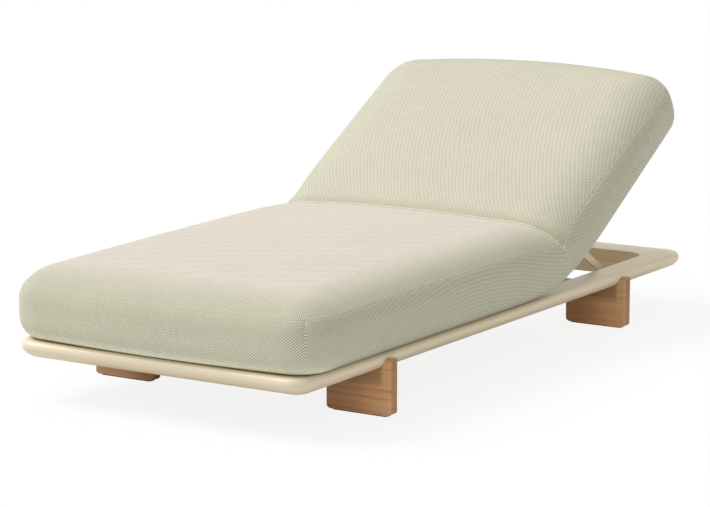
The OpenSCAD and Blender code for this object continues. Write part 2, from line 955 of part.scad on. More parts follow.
module panel_screw_shafts(d) {
    panel_screw_places()
    translate([0, 0, -panel_screw_len - slack])
    cylinder(h = panel_screw_len + slack * 2, d = d);
}

module back_panel() {
    color([0.8, 0.72, 0.6])
    at_back()
    difference() {
        box_at(-back_half, back_half, back_start, back_len, panel_p, back_top);
        panel_screw_shafts(panel_screw_d + 2 * fit);
        panel_screw_places()
        translate([0, 0, -panel_head_h - slack])
        cylinder(h = panel_head_h * 2, d = panel_head_d + 2 * fit);
    }
}

module panel_screws() {
    color([0.6, 0.6, 0.62])
    at_back()
    panel_screw_places()
    translate([0, 0, -slack]) {
        translate([0, 0, -panel_screw_len]) cylinder(h = panel_screw_len, d = panel_screw_d);
        translate([0, 0, -panel_head_h]) cylinder(h = panel_head_h, d = panel_head_d);
    }
}

// stay: shaft in bushes, two arms and their foot pins
module shaft_bushes() {
    color([0.15, 0.15, 0.16])
    at_back()
    translate([0, stay_len, 0])
    for (s = [-1, 1]) {
        difference() {
            union() {
                cyl_x(s > 0 ? back_half - tube_w : -back_half, tube_w, bush_d);
                cyl_x(s > 0 ? back_half : -back_half - bush_flange_t, bush_flange_t, bush_flange_d);
            }
            cyl_x(-frame_w / 2, frame_w, shaft_d + 2 * run);
        }
    }
}

shaft_end = arm_x - run;

module stay_shaft() {
    color([0.75, 0.75, 0.77])
    at_stay()
    difference() {
        cyl_x(-shaft_end, shaft_end * 2, shaft_d);
        for (s = [-1, 1]) {
            cyl_x(s > 0 ? shaft_end - arm_screw_in : -shaft_end - arm_screw_in,
                arm_screw_in * 2, arm_hole_d + 2 * run);
        }
    }
}

arm_screw_in = 14;
arm_head_d = 11;
arm_head_h = 4;

module stay_arm(s) {
    color([0.85, 0.78, 0.68])
    at_stay()
    difference() {
        translate([s > 0 ? arm_x : -arm_x - arm_t, 0, 0])
        rotate([quarter_turn, 0, quarter_turn])
        linear_extrude(arm_t) {
            translate([0, -arm_w / 2]) square([stay_len, arm_w]);
            circle(d = arm_w);
            translate([stay_len, 0]) circle(d = arm_w);
        }
        cyl_x(-frame_w / 2, frame_w, arm_hole_d + 2 * run);
        translate([0, stay_len, 0]) cyl_x(-frame_w / 2, frame_w, foot_pin_d * half + 2 * run);
    }
}

module stay_arm_right() {
    stay_arm(1);
}

module stay_arm_left() {
    stay_arm(-1);
}

module stay_screws() {
    color([0.6, 0.6, 0.62])
    at_stay()
    for (s = [-1, 1]) {
        cyl_x(s > 0 ? arm_x - arm_screw_in : -arm_x - arm_t, arm_t + arm_screw_in, arm_hole_d);
        difference() {
            cyl_x(s > 0 ? arm_x + arm_t : -arm_x - arm_t - arm_head_h, arm_head_h, arm_head_d);
            translate([s * (arm_x + arm_t + arm_head_h), 0, 0])
            rotate([0, quarter_turn, 0])
            cylinder(h = arm_head_h, d = arm_hole_d * hex_share, $fn = 6, center = true);
        }
    }
}

module stay_foot_pins() {
    color([0.7, 0.7, 0.72])
    at_stay()
    translate([0, stay_len, 0])
    for (s = [-1, 1]) {
        cyl_x(s > 0 ? arm_x : -arm_x - arm_t, arm_t, foot_pin_d * half);
        cyl_x(s > 0 ? arm_x + arm_t : -arm_x - arm_t - foot_pin_len, foot_pin_len, foot_pin_d);
    }
}

// cushions: rings of points stacked from the base to the crown
low_shares = [0, 0.18, 0.42, 0.7, 1];
top_degs = [12, 30, 48, 64, 76, 85];
crown_shares = [0.25, 0.55, 1];
crown_reach = 0.85;
side_shares = [0, 0.03, 0.07, 0.12, 0.18, 0.26, 0.4, 0.58, 0.76, 0.9];
arc_degs = [90, 72, 54, 36, 18];
front_shares = [1, 0.5];
lift_fade = 1.6;

function low_in(u) = draw_in * (1 - sqrt(1 - pow(1 - u, 2)));
function top_e(a) = top_in * (1 - cos(a));
function top_z(a, t) = t - top_down * (1 - sin(a));
function ring_list(t) = let (
    a1 = top_degs[len(top_degs) - 1],
    e1 = top_e(a1),
    z1 = top_z(a1, t)
) concat(
    [for (u = low_shares) [low_in(u), draw_h * u, end_draw_share]],
    [for (a = top_degs) [top_e(a), top_z(a, t), 1]],
    [for (c = crown_shares)
        [e1 + (cush_half - e1) * crown_reach * c, z1 + crown_h * (1 - pow(1 - c, 2)), 1]]
);
function bend_lift(d) = d < bend_len
    ? bend_r - sqrt(pow(bend_r, 2) - pow(bend_len - d, 2))
    : 0;
function fold_round(d) = d < edge_round
    ? edge_round - sqrt(pow(edge_round, 2) - pow(edge_round - d, 2))
    : 0;
function fold_lift(d) = fold_rise * pow(max(0, 1 - d / rise_len), 2);
function cut_at(z) = z * tan(fold_half) + face_gap;
function drop_at(y, reach, drop) = drop * pow(max(0, min(1, y / reach)), 2);
function chain_half(e, z, reach, end_share) = let (
    w = cush_half - e,
    r = max(cush_r - e, cush_r / 4),
    far = reach - e * end_share,
    y0 = cut_at(z),
    y1 = far - r,
    inward = max(0, 1 - e / cush_half),
    swell = side_bulge * inward * min(1, z / draw_h),
    bul = end_bulge * inward
) concat(
    [for (k = side_shares) [w + 4 * swell * k * (1 - k), y0 + (y1 - y0) * k]],
    [for (a = arc_degs) [w - r + r * sin(a), y1 + r * cos(a)]],
    [for (f = front_shares) [(w - r) * f, far + bul * (1 - pow(f, 2))]],
    [[0, far + bul]]
);
function ring_points(ring, t, reach, drop) = let (
    z = ring[1],
    h = chain_half(ring[0], z, reach, ring[2]),
    n = len(h),
    share = z / t,
    all = concat(h, [for (i = [n - 2 : -1 : 0]) [-h[i][0], h[i][1]]])
) [for (q = all) let (
        d = q[1] - cut_at(z),
        up = bend_lift(d) * (1 - min(1, share * lift_fade)) + fold_lift(d) * share,
        down = share > half ? fold_round(d) * (share - half) / half : 0,
        near = max(0, 1 - d / bend_len)
    ) [q[0], q[1] + (up - down) * tan(fold_half) * near,
        z + up - down - drop_at(q[1], reach, drop) * share]];

module cushion_form(t, reach, drop) {
    // drawn with the fold at y = 0, the base at z = 0 and the far end along +y
    rings = ring_list(t);
    k = len(rings);
    pts = [for (r = rings) ring_points(r, t, reach, drop)];
    n = len(pts[0]);
    flat = [for (ring = pts) each ring];
    sides = [for (j = [0 : k - 2]) for (i = [0 : n - 2])
        [j * n + i, (j + 1) * n + i, (j + 1) * n + i + 1, j * n + i + 1]];
    fold_face = [for (j = [0 : k - 2])
        [j * n, j * n + n - 1, (j + 1) * n + n - 1, (j + 1) * n]];
    m = (n - 1) / 2;
    base = [for (i = [0 : m - 1])
        i < m - 1 ? [i, i + 1, n - 2 - i, n - 1 - i] : [i, i + 1, n - 1 - i]];
    o = (k - 1) * n;
    top = [for (i = [0 : m - 1])
        i < m - 1 ? [o + i, o + n - 1 - i, o + n - 2 - i, o + i + 1] : [o + i, o + n - 1 - i, o + i + 1]];
    polyhedron(points = flat, faces = concat(sides, fold_face, base, top), convexity = 4);
}

module seat_cushion() {
    color([0.82, 0.8, 0.7])
    translate([0, kink_y, cush_z])
    rotate([0, 0, half_turn])
    cushion_form(cush_t, seat_reach + kink_y, seat_drop);
}

module back_cushion() {
    color([0.82, 0.8, 0.7])
    at_back()
    translate([0, kink_s, base_p])
    cushion_form(cush_t - back_thin, back_reach, 0);
}

module seat_grips() {
    // non-slip strips between the deck and the seat cushion
    len = -in_front * grip_len_share;
    color([0.15, 0.15, 0.15])
    for (s = [-1, 1]) {
        box_at(s * grip_x - grip_w / 2, s * grip_x + grip_w / 2, -len - foot_border, -foot_border,
            frame_top, frame_top + grip_t);
    }
}

module back_grips() {
    // non-slip strips between the back panel and the back cushion
    color([0.15, 0.15, 0.15])
    at_back()
    for (s = [-1, 1]) {
        box_at(s * grip_x - grip_w / 2, s * grip_x + grip_w / 2,
            back_len * (1 - grip_len_share), back_len - tube_w, back_top, back_top + grip_t);
    }
}

frame_ring();
seat_deck();
deck_screws();
deck_beam_front();
deck_beam_mid();
hinge_beam();
beam_screws();
deck_pads();
head_beam();
head_beam_screws();
rest_buffers();
foot_front_right();
foot_front_left();
foot_rear_right();
foot_rear_left();
foot_pads();
foot_bolts();
foot_nut_plates();
hinge_bracket_right();
hinge_bracket_left();
hinge_bolts();
hinge_pins();
rack_right();
rack_left();
rack_screws();
seat_cushion();
seat_grips();
back_frame();
back_panel();
panel_screws();
back_cushion();
back_grips();
shaft_bushes();
stay_shaft();
stay_arm_right();
stay_arm_left();
stay_screws();
stay_foot_pins();
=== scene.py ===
import math

import bmesh
import bpy
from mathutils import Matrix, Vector


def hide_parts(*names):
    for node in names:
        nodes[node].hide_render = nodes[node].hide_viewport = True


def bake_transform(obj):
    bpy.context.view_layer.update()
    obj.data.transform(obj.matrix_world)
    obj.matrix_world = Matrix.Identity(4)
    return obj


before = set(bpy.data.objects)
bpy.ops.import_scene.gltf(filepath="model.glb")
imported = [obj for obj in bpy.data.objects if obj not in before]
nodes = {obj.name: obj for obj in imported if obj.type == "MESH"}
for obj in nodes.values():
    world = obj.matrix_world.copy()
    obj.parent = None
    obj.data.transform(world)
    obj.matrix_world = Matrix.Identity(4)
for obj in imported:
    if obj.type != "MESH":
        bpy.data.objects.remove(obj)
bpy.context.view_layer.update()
MM = 0.001


# Looks: a thin layer over shader nodes

# places of sockets that have no name of their own
OBJECT_OUT, ATTRIBUTE_OUT, RAY_OUT = 3, 2, 0
MIX_SHARE, MIX_FIRST, MIX_SECOND, MIX_OUT = 0, 6, 7, 2


class Wire:
    """A socket of a material; arithmetic on it adds Math nodes."""

    def __init__(self, look, socket):
        self.look = look
        self.socket = socket

    def math(self, operation, *values):
        return self.look.add("ShaderNodeMath", {"operation": operation}, dict(enumerate(values)))

    def __add__(self, other):
        return self.math("ADD", self, other)

    def __radd__(self, other):
        return self.math("ADD", other, self)

    def __sub__(self, other):
        return self.math("SUBTRACT", self, other)

    def __rsub__(self, other):
        return self.math("SUBTRACT", other, self)

    def __mul__(self, other):
        return self.math("MULTIPLY", self, other)

    def __rmul__(self, other):
        return self.math("MULTIPLY", other, self)

    def __truediv__(self, other):
        return self.math("DIVIDE", self, other)

    def sin(self):
        return self.math("SINE", self)

    def cos(self):
        return self.math("COSINE", self)

    def abs(self):
        return self.math("ABSOLUTE", self)

    def fraction(self):
        return self.math("FRACT", self)

    def most(self, other):
        return self.math("MAXIMUM", self, other)

    def step(self, low, high):
        """0 below low, 1 above high, smooth between."""
        return self.look.add("ShaderNodeMapRange", {"interpolation_type": "SMOOTHSTEP"},
                             {"Value": self, "From Min": low, "From Max": high})


class Look:
    """A material being made."""

    def __init__(self, name):
        self.material = bpy.data.materials.new(name)
        self.material.use_nodes = True
        self.tree = self.material.node_tree
        self.tree.nodes.clear()

    def add(self, kind, settings=None, inputs=None, out=0):
        made = self.tree.nodes.new(kind)
        for key, value in (settings or {}).items():
            if key == "stops":
                ramp = made.color_ramp
                while len(ramp.elements) < len(value):
                    ramp.elements.new(1.0)
                for element, (place, colour) in zip(ramp.elements, value):
                    element.position = place
                    element.color = (*colour, 1.0)
            else:
                setattr(made, key, value)
        for key, value in (inputs or {}).items():
            if isinstance(value, Wire):
                self.tree.links.new(value.socket, made.inputs[key])
            else:
                if isinstance(value, tuple) and len(value) == 3 and made.inputs[key].type == "RGBA":
                    value = (*value, 1.0)
                made.inputs[key].default_value = value
        return Wire(self, made.outputs[out])

    def place(self):
        return self.add("ShaderNodeTexCoord", out=OBJECT_OUT)

    def parts(self, vector):
        xyz = self.add("ShaderNodeSeparateXYZ", None, {0: vector})
        owner = xyz.socket.node
        return [Wire(self, owner.outputs[i]) for i in range(3)]

    def cloth_map(self, name):
        return self.parts(self.add("ShaderNodeUVMap", {"uv_map": name}))

    def cloth_field(self, name):
        return self.add("ShaderNodeAttribute", {"attribute_name": name}, out=ATTRIBUTE_OUT)

    def vector(self, x, y, z):
        return self.add("ShaderNodeCombineXYZ", None, {0: x, 1: y, 2: z})

    def noise(self, vector, scale, detail=3.0, rough=0.5):
        return self.add("ShaderNodeTexNoise", None,
                        {"Vector": vector, "Scale": scale, "Detail": detail, "Roughness": rough})

    def mix(self, share, first, second, blend="MIX"):
        return self.add("ShaderNodeMix", {"data_type": "RGBA", "blend_type": blend},
                        {MIX_SHARE: share, MIX_FIRST: first, MIX_SECOND: second}, out=MIX_OUT)

    def times(self, share, colour, tint):
        """A colour multiplied by a tint, by a share of its strength."""
        return self.mix(share, colour, self.mix(1.0, colour, tint, "MULTIPLY"))

    def bump(self, height, strength, distance):
        return self.add("ShaderNodeBump", None,
                        {"Height": height, "Strength": strength, "Distance": distance})

    def finish(self, **sockets):
        """Closes the material with a Principled shader."""
        inputs = {key.replace("_", " "): value for key, value in sockets.items()}
        shader = self.add("ShaderNodeBsdfPrincipled", None, inputs)
        self.add_output(shader)
        return self.material

    def add_output(self, shader):
        made = self.tree.nodes.new("ShaderNodeOutputMaterial")
        self.tree.links.new(shader.socket, made.inputs["Surface"])


TURN = 2 * math.pi


def hexed(text):
    """Linear colour from the six digits of a display colour."""
    out = []
    for i in (0, 2, 4):
        v = int(text[i:i + 2], 16) / 255
        out.append(v / 12.92 if v <= 0.04045 else ((v + 0.055) / 1.055) ** 2.4)
    return tuple(out)


# Finishes

CLOTH_MAPS = ("lay", "ribs", "sewn")
CLOTH_FIELDS = ("warm", "bold", "crisp", "hollow")
CORD_PITCH = 5.4 * MM
STITCH_PITCH = 6.4 * MM
BEAD_PITCH = 8.5 * MM
CORD_EDGE = (0.16, 0.8)
CORD_DRIFT, STITCH_DRIFT, STITCH_LEAN, STITCH_DEPTH = 0.25, 0.4, 0.7, 0.16
SEAM_BESIDE = (2 * MM, 20 * MM)
SEAM_LINE = (0.9 * MM, 2.0 * MM)
SEAM_BOLD = 0.4
RIB_CLOUD, RIB_DRIFT = 4.0, 1.6
GAP_GREEN, GAP_WARM, YARN_GREEN, YARN_WARM = "a2a58b", "c6bca8", "f0ead2", "f7efe3"
SEAM_YARN_HIGHLIGHT, SEAM_KNOT, LOW_PAINTED_LIGHT_TINT, FOLD_SHADE_TINT = "fbf7ea", "6f6b55", "eef4ff", "efebdc"
CLOUD_TONE, PATCH_TONE, FINE_TONE = 0.08, 0.13, 0.26
# bands of height and length, in metres, where painted light and shade change the cloth's tone, and by how
# much
LOW_BAND = (0.168, 0.196)
SIDE_FROM = (-0.99, -0.93)
CURL_BEHIND, CURL_OVER = (-1.0, -0.9), (0.22, 0.3)
LOW_PAINTED_LIGHT, LOW_SIDE_PAINTED_SHADE, FRONT_ROUND_SHADE = 0.42, 0.6, 0.07


def cord_weave():
    look = Look("cord_weave_cloth")
    across, along, _ = look.cloth_map("lay")
    rib_place, rib_gain, _ = look.cloth_map("ribs")
    seam_run, seam_off, _ = look.cloth_map("sewn")
    warm, bold, crisp, hollow = [look.cloth_field(name) for name in CLOTH_FIELDS]
    where = look.place()
    _, way_back, height_up = look.parts(where)
    drift = look.noise(where, 26.0, 2.0)
    fine = look.noise(where, 900.0, 2.0)
    cloud = look.noise(where, 5.0, 3.0)
    patch = look.noise(where, 42.0, 3.0, 0.6)
    # cords side by side, each with its stitches
    turns = across / CORD_PITCH + (drift - 0.5) * CORD_DRIFT
    cord = (turns * TURN).cos() * 0.5 + 0.5
    lean = (turns.fraction() - 0.5) * STITCH_LEAN
    stitch = ((along / STITCH_PITCH + lean + (drift - 0.5) * STITCH_DRIFT) * TURN).cos() * 0.5 + 0.5
    body = cord.step(*CORD_EDGE) * (stitch * STITCH_DEPTH + (1 - STITCH_DEPTH))
    off = seam_off.abs()
    beside = (1 - off.step(*SEAM_BESIDE)) * crisp
    shown = (body - 0.5) * (bold + beside * SEAM_BOLD) + 0.5
    gap = look.mix(warm, hexed(GAP_GREEN), hexed(GAP_WARM))
    yarn = look.mix(warm, hexed(YARN_GREEN), hexed(YARN_WARM))
    colour = look.mix(shown, gap, yarn)
    # slow changes of tone: ribs and clouds, with painted light and shade along the bottom by the frame and
    # painted shade on the front round
    rib = (rib_place * TURN + (cloud - 0.5) * RIB_CLOUD + (drift - 0.5) * RIB_DRIFT).sin() * rib_gain
    # painted light lifts the bottom band at the front end, and painted shade darkens it along the sides
    low = 1 - height_up.step(*LOW_BAND)
    beside_frame = way_back.step(*SIDE_FROM)
    # painted shade on the upper front round
    front_round_shade = (1 - way_back.step(*CURL_BEHIND)) * height_up.step(*CURL_OVER)
    tone = (cloud - 0.5) * CLOUD_TONE + (patch - 0.5) * PATCH_TONE + (fine - 0.5) * FINE_TONE + rib
    tone = tone + low * (LOW_PAINTED_LIGHT - beside_frame * LOW_SIDE_PAINTED_SHADE) - front_round_shade * FRONT_ROUND_SHADE + 1.0
    colour = look.mix(1.0, colour, look.vector(tone, tone, tone), "MULTIPLY")
    # the painted light along the bottom is tinted a little blue
    colour = look.times(low * 0.8, colour, hexed(LOW_PAINTED_LIGHT_TINT))
    # painted shade on the back just above the fold
    colour = look.times(hollow * 0.75, colour, hexed(FOLD_SHADE_TINT))
    # seam: a beaded line of pale stitches with a painted highlight along the seam ridge, and dark knots at
    # the corners
    line = 1 - off.step(*SEAM_LINE)
    bead = (seam_run / BEAD_PITCH * TURN).cos() * 0.5 + 0.5
    colour = look.mix(line * (bead * 0.5 + 0.08) * (crisp * 0.8 + 0.45), colour, hexed(SEAM_YARN_HIGHLIGHT))
    knot = line * (1 - bead).step(0.55, 0.9) * crisp.step(0.65, 1.0)
    colour = look.mix(knot * 0.6, colour, hexed(SEAM_KNOT))
    height = body + fine * 0.25
    return look.finish(Base_Color=colour, Roughness=0.92, Sheen_Weight=0.12, Sheen_Roughness=0.5,
                       Specular_IOR_Level=0.2, Normal=look.bump(height, 0.4, 0.0009))


STRAND_PITCH, STRAND_TWIST = 2.2 * MM, 5 * MM


def crease_thread():
    look = Look("crease_thread_cotton")
    where = look.place()
    x, y, _ = look.parts(where)
    strand = ((x / STRAND_PITCH + y / STRAND_TWIST) * TURN).sin() * 0.5 + 0.5
    fuzz = look.noise(where, 700.0, 2.0)
    colour = look.mix(strand * 0.6 + fuzz * 0.4, hexed("fbf7ec"), hexed("fffefb"))
    return look.finish(Base_Color=colour, Roughness=0.85, Normal=look.bump(strand + fuzz, 0.4, 0.0006))


# where the frame's coat is painted paler or darker as light and shade, in metres
COAT_LOW_SHADE, COAT_WALL, COAT_RIM = (0.11, 0.15), (0.118, 0.158), (0.1615, 0.1635)
COAT_SIDE, COAT_SIDE_BEHIND, COAT_REAR, COAT_FRONT = (0.36, 0.42), (-1.02, -0.85), (0.55, 0.75), (0.1, 0.2)
COAT_WALL_SHADE, COAT_SIDE_LIGHT, COAT_RIM_BOUNCE = "d3bf9c", "ffecca", "ffdcae"


def powder_coat(name, colour, dark, roughness=0.42, lit=False):
    look = Look(name)
    where = look.place()
    x, y, z = look.parts(where)
    peel = look.noise(where, 620.0, 2.0, 0.55)
    cloud = look.noise(where, 3.0, 3.0)
    smudge = look.noise(where, 14.0, 4.0, 0.6).step(0.45, 0.8)
    # painted shade darkens the coat towards the bottom; the clouds and smudges are random tone
    shade = (cloud - 0.5) * 0.35 + smudge * 0.16 + (1 - z.step(*COAT_LOW_SHADE)) * 0.25
    base = look.mix(shade.most(0.0), hexed(colour), hexed(dark))
    speck = look.noise(where, 1500.0, 1.0).step(0.68, 0.76)
    base = look.mix(speck * 0.18, base, hexed(dark))
    if lit:
        # the side rails behind the front, and the rear, are where light is painted in
        aside = (x.abs().step(*COAT_SIDE) * y.step(*COAT_SIDE_BEHIND)).most(y.step(*COAT_REAR))
        # painted shade on the front parts, stronger low down on the inner walls
        shaded = (1 - z.step(*COAT_WALL)) * (1 - aside) + (1 - aside) * 0.2
        base = look.mix(shaded * 0.62, base, hexed(COAT_WALL_SHADE))
        # painted light makes the side rails and the rear paler and warmer
        base = look.mix(aside * 0.8, base, hexed(COAT_SIDE_LIGHT))
        # painted light: the top of the frame along the seat takes a warm bounce from the gap under the
        # cushion
        under = z.step(*COAT_RIM) * (1 - y.step(*COAT_FRONT))
        base = look.mix(under * 0.35, base, hexed(COAT_RIM_BOUNCE))
    rough = smudge * 0.10 + peel * 0.08 + (roughness - 0.06)
    return look.finish(Base_Color=base, Roughness=rough, Coat_Weight=0.06, Coat_Roughness=0.3,
                       Normal=look.bump(peel, 0.12, 0.0005))


# places on a foot, in metres: by distance from the middle of the lounger and by height
WOOD_INNER, WOOD_OUTER, WOOD_RIM = (0.30, 0.40), (0.30, 0.45), (0.425, 0.455)
WOOD_END, WOOD_HORN, WOOD_FRAME_SHADOW = (0.463, 0.474), (0.43, 0.45), (0.068, 0.1)
WOOD_TOP, WOOD_FADE = 0.15, 0.16
WOOD_STOPS = ((0.2, "e0b484"), (0.42, "d4a277"), (0.62, "c08b62"), (0.88, "8e5f3d"))
WOOD_PORE = "7a4f33"


def walnut(name, shift, painted_outer_light, painted_inner_shade=0.0):
    """Walnut with the grain lying across; the last two arguments paint light on the outer part (shade where
    negative) and shade on the inner part.
    """
    look = Look(name)
    x, y, z = look.parts(look.place())
    sway = look.noise(look.vector(x * 1.2 + shift, y * 2.0, z * 3.0 + shift), 2.2, 2.0)
    lift = z + (sway - 0.5) * 0.012
    figure = look.noise(look.vector(x * 2.4 + shift, y * 26.0, lift * 78.0), 1.5, 5.0, 0.66)
    rings = ((lift * 52.0 + y * 12.0 + shift) * TURN).sin() * 0.5 + 0.5
    streak = look.noise(look.vector(x * 2.2 + shift, y * 30.0, lift * 120.0), 1.2, 3.0).step(0.56, 0.76)
    pore = look.noise(look.vector(x * 70.0, y * 1100.0, z * 1100.0), 1.0, 2.0).step(0.56, 0.7)
    blend = figure * 0.66 + rings * 0.08 + streak * 0.26
    stops = [(place, hexed(text)) for place, text in WOOD_STOPS]
    colour = look.add("ShaderNodeValToRGB", {"stops": stops}, {0: blend})
    colour = look.mix(pore * 0.3, colour, hexed(WOOD_PORE))
    wide = x.abs()
    ends = wide.step(*WOOD_END)
    outer = wide.step(*WOOD_OUTER) * (1 - ends)
    inner = 1 - wide.step(*WOOD_INNER)
    # painted shadow of the frame across the top of the foot, inboard of the horn
    frame_shadow = z.step(*WOOD_FRAME_SHADOW) * (1 - wide.step(*WOOD_HORN))
    glint = wide.step(*WOOD_RIM) * (1 - ends)
    # painted light and shade: outer part lighter on the right feet and darker on the left, left feet darker
    # overall, each foot lighter towards the bottom
    tone = outer * painted_outer_light + (WOOD_TOP - z).step(0.0, WOOD_FADE) * 0.42 + (0.74 + min(painted_outer_light, 0.0))
    # painted shade on the inner part, and the painted shadow of the frame
    tone = (tone - ends * 0.19 - inner * painted_inner_shade) * (1 - frame_shadow * 0.4)
    green = tone * (glint * 0.1 - ends * 0.12 + 0.985)
    blue = tone * (glint * 0.17 - ends * 0.25 + 0.96)
    colour = look.mix(1.0, colour, look.vector(tone, green, blue), "MULTIPLY")
    rough = pore * 0.18 + figure * 0.1 + 0.42
    return look.finish(Base_Color=colour, Roughness=rough, Specular_IOR_Level=0.3,
                       Normal=look.bump(figure * 0.3 - pore * 0.6, 0.2, 0.0004))


def laminate():
    look = Look("deck_laminate_sand")
    where = look.place()
    grain = look.noise(where, 420.0, 3.0, 0.6)
    cloud = look.noise(where, 4.0, 3.0)
    colour = look.mix(grain * 0.5 + cloud * 0.3, hexed("d3c2a2"), hexed("b8a482"))
    return look.finish(Base_Color=colour, Roughness=grain * 0.15 + 0.5, Normal=look.bump(grain, 0.2, 0.0003))


def rubber():
    look = Look("black_rubber_moulded")
    where = look.place()
    grit = look.noise(where, 900.0, 3.0, 0.6)
    dust = look.noise(where, 30.0, 3.0).step(0.4, 0.9)
    colour = look.mix(dust * 0.3 + grit * 0.2, hexed("1d1a18"), hexed("4a443c"))
    return look.finish(Base_Color=colour, Roughness=grit * 0.15 + 0.72, Normal=look.bump(grit, 0.3, 0.0004))


def steel():
    look = Look("brushed_steel_zinc")
    where = look.place()
    x, y, z = look.parts(where)
    lines = look.noise(look.vector(x * 40.0, y * 1400.0, z * 1400.0), 1.0, 2.0)
    cloud = look.noise(where, 60.0, 3.0)
    colour = look.mix(lines * 0.5 + cloud * 0.3, hexed("c9c9cb"), hexed("9b9a98"))
    return look.finish(Base_Color=colour, Metallic=0.9, Roughness=lines * 0.15 + 0.28,
                       Normal=look.bump(lines, 0.15, 0.0002))


def black_plastic():
    look = Look("black_plastic_bush")
    grain = look.noise(look.place(), 800.0, 2.0)
    colour = look.mix(grain * 0.4, hexed("1f2022"), hexed("3a3b3d"))
    return look.finish(Base_Color=colour, Roughness=grain * 0.1 + 0.45, Normal=look.bump(grain, 0.15, 0.0003))


CREAM = powder_coat("frame_powder_cream", "f3e6cb", "dcc9a8", 0.38, True)
SAND = powder_coat("subframe_powder_sand", "b9a284", "94795a", 0.5)
STEEL = steel()
RUBBER = rubber()
DECK = laminate()
BUSH = black_plastic()
WEAVE = cord_weave()
THREAD = crease_thread()

FINISHES = {
    "frame_ring": CREAM, "head_beam": CREAM, "stay_arm_right": CREAM, "stay_arm_left": CREAM,
    "rack_right": CREAM, "rack_left": CREAM, "seat_deck": DECK, "back_panel": DECK,
    "deck_beam_front": SAND, "deck_beam_mid": SAND, "hinge_beam": SAND, "back_frame": SAND,
    "hinge_bracket_right": SAND, "hinge_bracket_left": SAND, "deck_pads": RUBBER,
    "rest_buffers": RUBBER, "foot_pads": RUBBER, "seat_grips": RUBBER, "back_grips": RUBBER,
    "shaft_bushes": BUSH,
    "foot_front_right": walnut("walnut_front_right", 0.0, 0.48),
    "foot_front_left": walnut("walnut_front_left", 3.7, -0.28),
    "foot_rear_right": walnut("walnut_rear_right", 7.3, 0.48, 0.16),
    "foot_rear_left": walnut("walnut_rear_left", 11.9, -0.28),
}
SOFT_NODES = ("seat_cushion", "back_cushion")
for name, piece in nodes.items():
    if name in SOFT_NODES:
        continue
    finish = FINISHES.get(name, STEEL)
    if not piece.material_slots:
        piece.data.materials.append(finish)
    for slot in piece.material_slots:
        slot.material = finish


# Mattress form, in millimetres, as the source has it but finer; angles in degrees

THICK, THIN = 205.0, 12.0
HALF_W, DRAW_IN, DRAW_H = 489.0, 60.0, 60.0
TOP_IN, TOP_DOWN, CORNER_R, CROWN = 129.0, 99.0, 121.0, 11.0
SEAT_BULGE, BACK_BULGE, SIDE_BULGE, END_DRAW = 18.0, 32.0, 2.0, 0.55
BEND_R, SEAT_DROP = 750.0, 18.0
FOLD = math.radians(15.0)
TAN_F = math.tan(FOLD)
AXIS_Y, AXIS_Z, CUSH_Z = 236.0, 150.0, 166.0
BASE_P = CUSH_Z - AXIS_Z
KINK_Y = AXIS_Y - BASE_P * TAN_F
KINK_S = BASE_P * TAN_F
FRAME_HALF = 1050.0
SEAT_REACH = FRAME_HALF + KINK_Y
BACK_REACH = 856.0
SHIFT_BACK, SHIFT_SEAT, SHIFT_WAY = 5.0, 1.5, 260.0
TUCK, TUCK_WAY = 15.0, 260.0
RISE_FRONT, RISE_SIDE, RISE_BACK, SLIDE_WAY = 11.0, 3.0, 12.0, 80 * MM
# where the seam climbs by those rises
SEAT_RISE_X, SEAT_RISE_WIDE, SEAT_RISE_BEHIND, SEAT_RISE_LONG = 420, 760, 40, 420
SIDE_RISE_X, SIDE_RISE_WIDE, BACK_RISE_X, BACK_RISE_WIDE = 380, 90, 300, 120
BACK_RISE_START, BACK_RISE_GROW, BACK_RISE_END, BACK_RISE_FADE = 150, 90, 760, 330
BEND_LEN = BEND_R * TAN_F
SEAM_IN, CORNER_SHARE = 2.2, 0.8
LOW_FADE = 1.6
MEET_WAY, PUSH_WAY, NOSE_WAY = 120.0, 100.0, 60.0
TUCK_LOW, TUCK_HIGH, TUCK_HALF = 60.0, 100.0, 300.0
BASE_SHARES = (.93, .8, .62, .42, .22, .03)
FOLD_HELD = 5

NEAR = [0, 1.5, 4, 8, 13, 19, 27, 37, 50, 68, 90, 120]
FAR_STEPS = 20
ARC_DEGS = [90, 82, 74, 66, 58, 50, 43, 38, 36, 34, 29, 23, 16, 8]
CORNER_DEG = 36
SEAM_DEG = 20.1
CROWN_DEG = 84
FRONT_SHARES = [1, .97, .9, .78, .64, .5, .36, .24, .12]
LOW_SHARES = [0, .05, .12, .22, .35, .5, .66, .82, 1]
SEAT_DEGS = [0, 7, 13, 18, 19.4, SEAM_DEG, 20.8, 22.2, 28, 36, 45, 54, 63, 71, 78, CROWN_DEG]
BACK_DEGS = [0, 10, 19, 25.2, 27.1, 27.8, 28.5, 30.4, 36, 43, 50, 58, 66, 73, 79, CROWN_DEG]
CROWN_SHARES = [.05, .12, .22, .36, .52, .7, .86, .975]
VALLEY_R = [(0, 60), (30, 60), (48, 52), (64, 42), (76, 34), (90, 28)]
DEPTH = [(-1, 0), (0, 0), (3, .3), (12, 1.7), (22, 3), (30, 7), (48, 17), (64, 18.5), (76, 14),
         (85, 12), (90, 11)]
PUSH = [(-1, 0), (-.5, 3), (0, 5), (12, 8), (30, 8), (48, 6), (64, 2), (90, 0)]


def smooth(x):
    x = min(1.0, max(0.0, x))
    return x * x * (3 - 2 * x)


def read(table, x):
    for (x0, y0), (x1, y1) in zip(table, table[1:]):
        if x <= x1:
            return y0 + (y1 - y0) * max(0.0, (x - x0) / (x1 - x0))
    return table[-1][1]


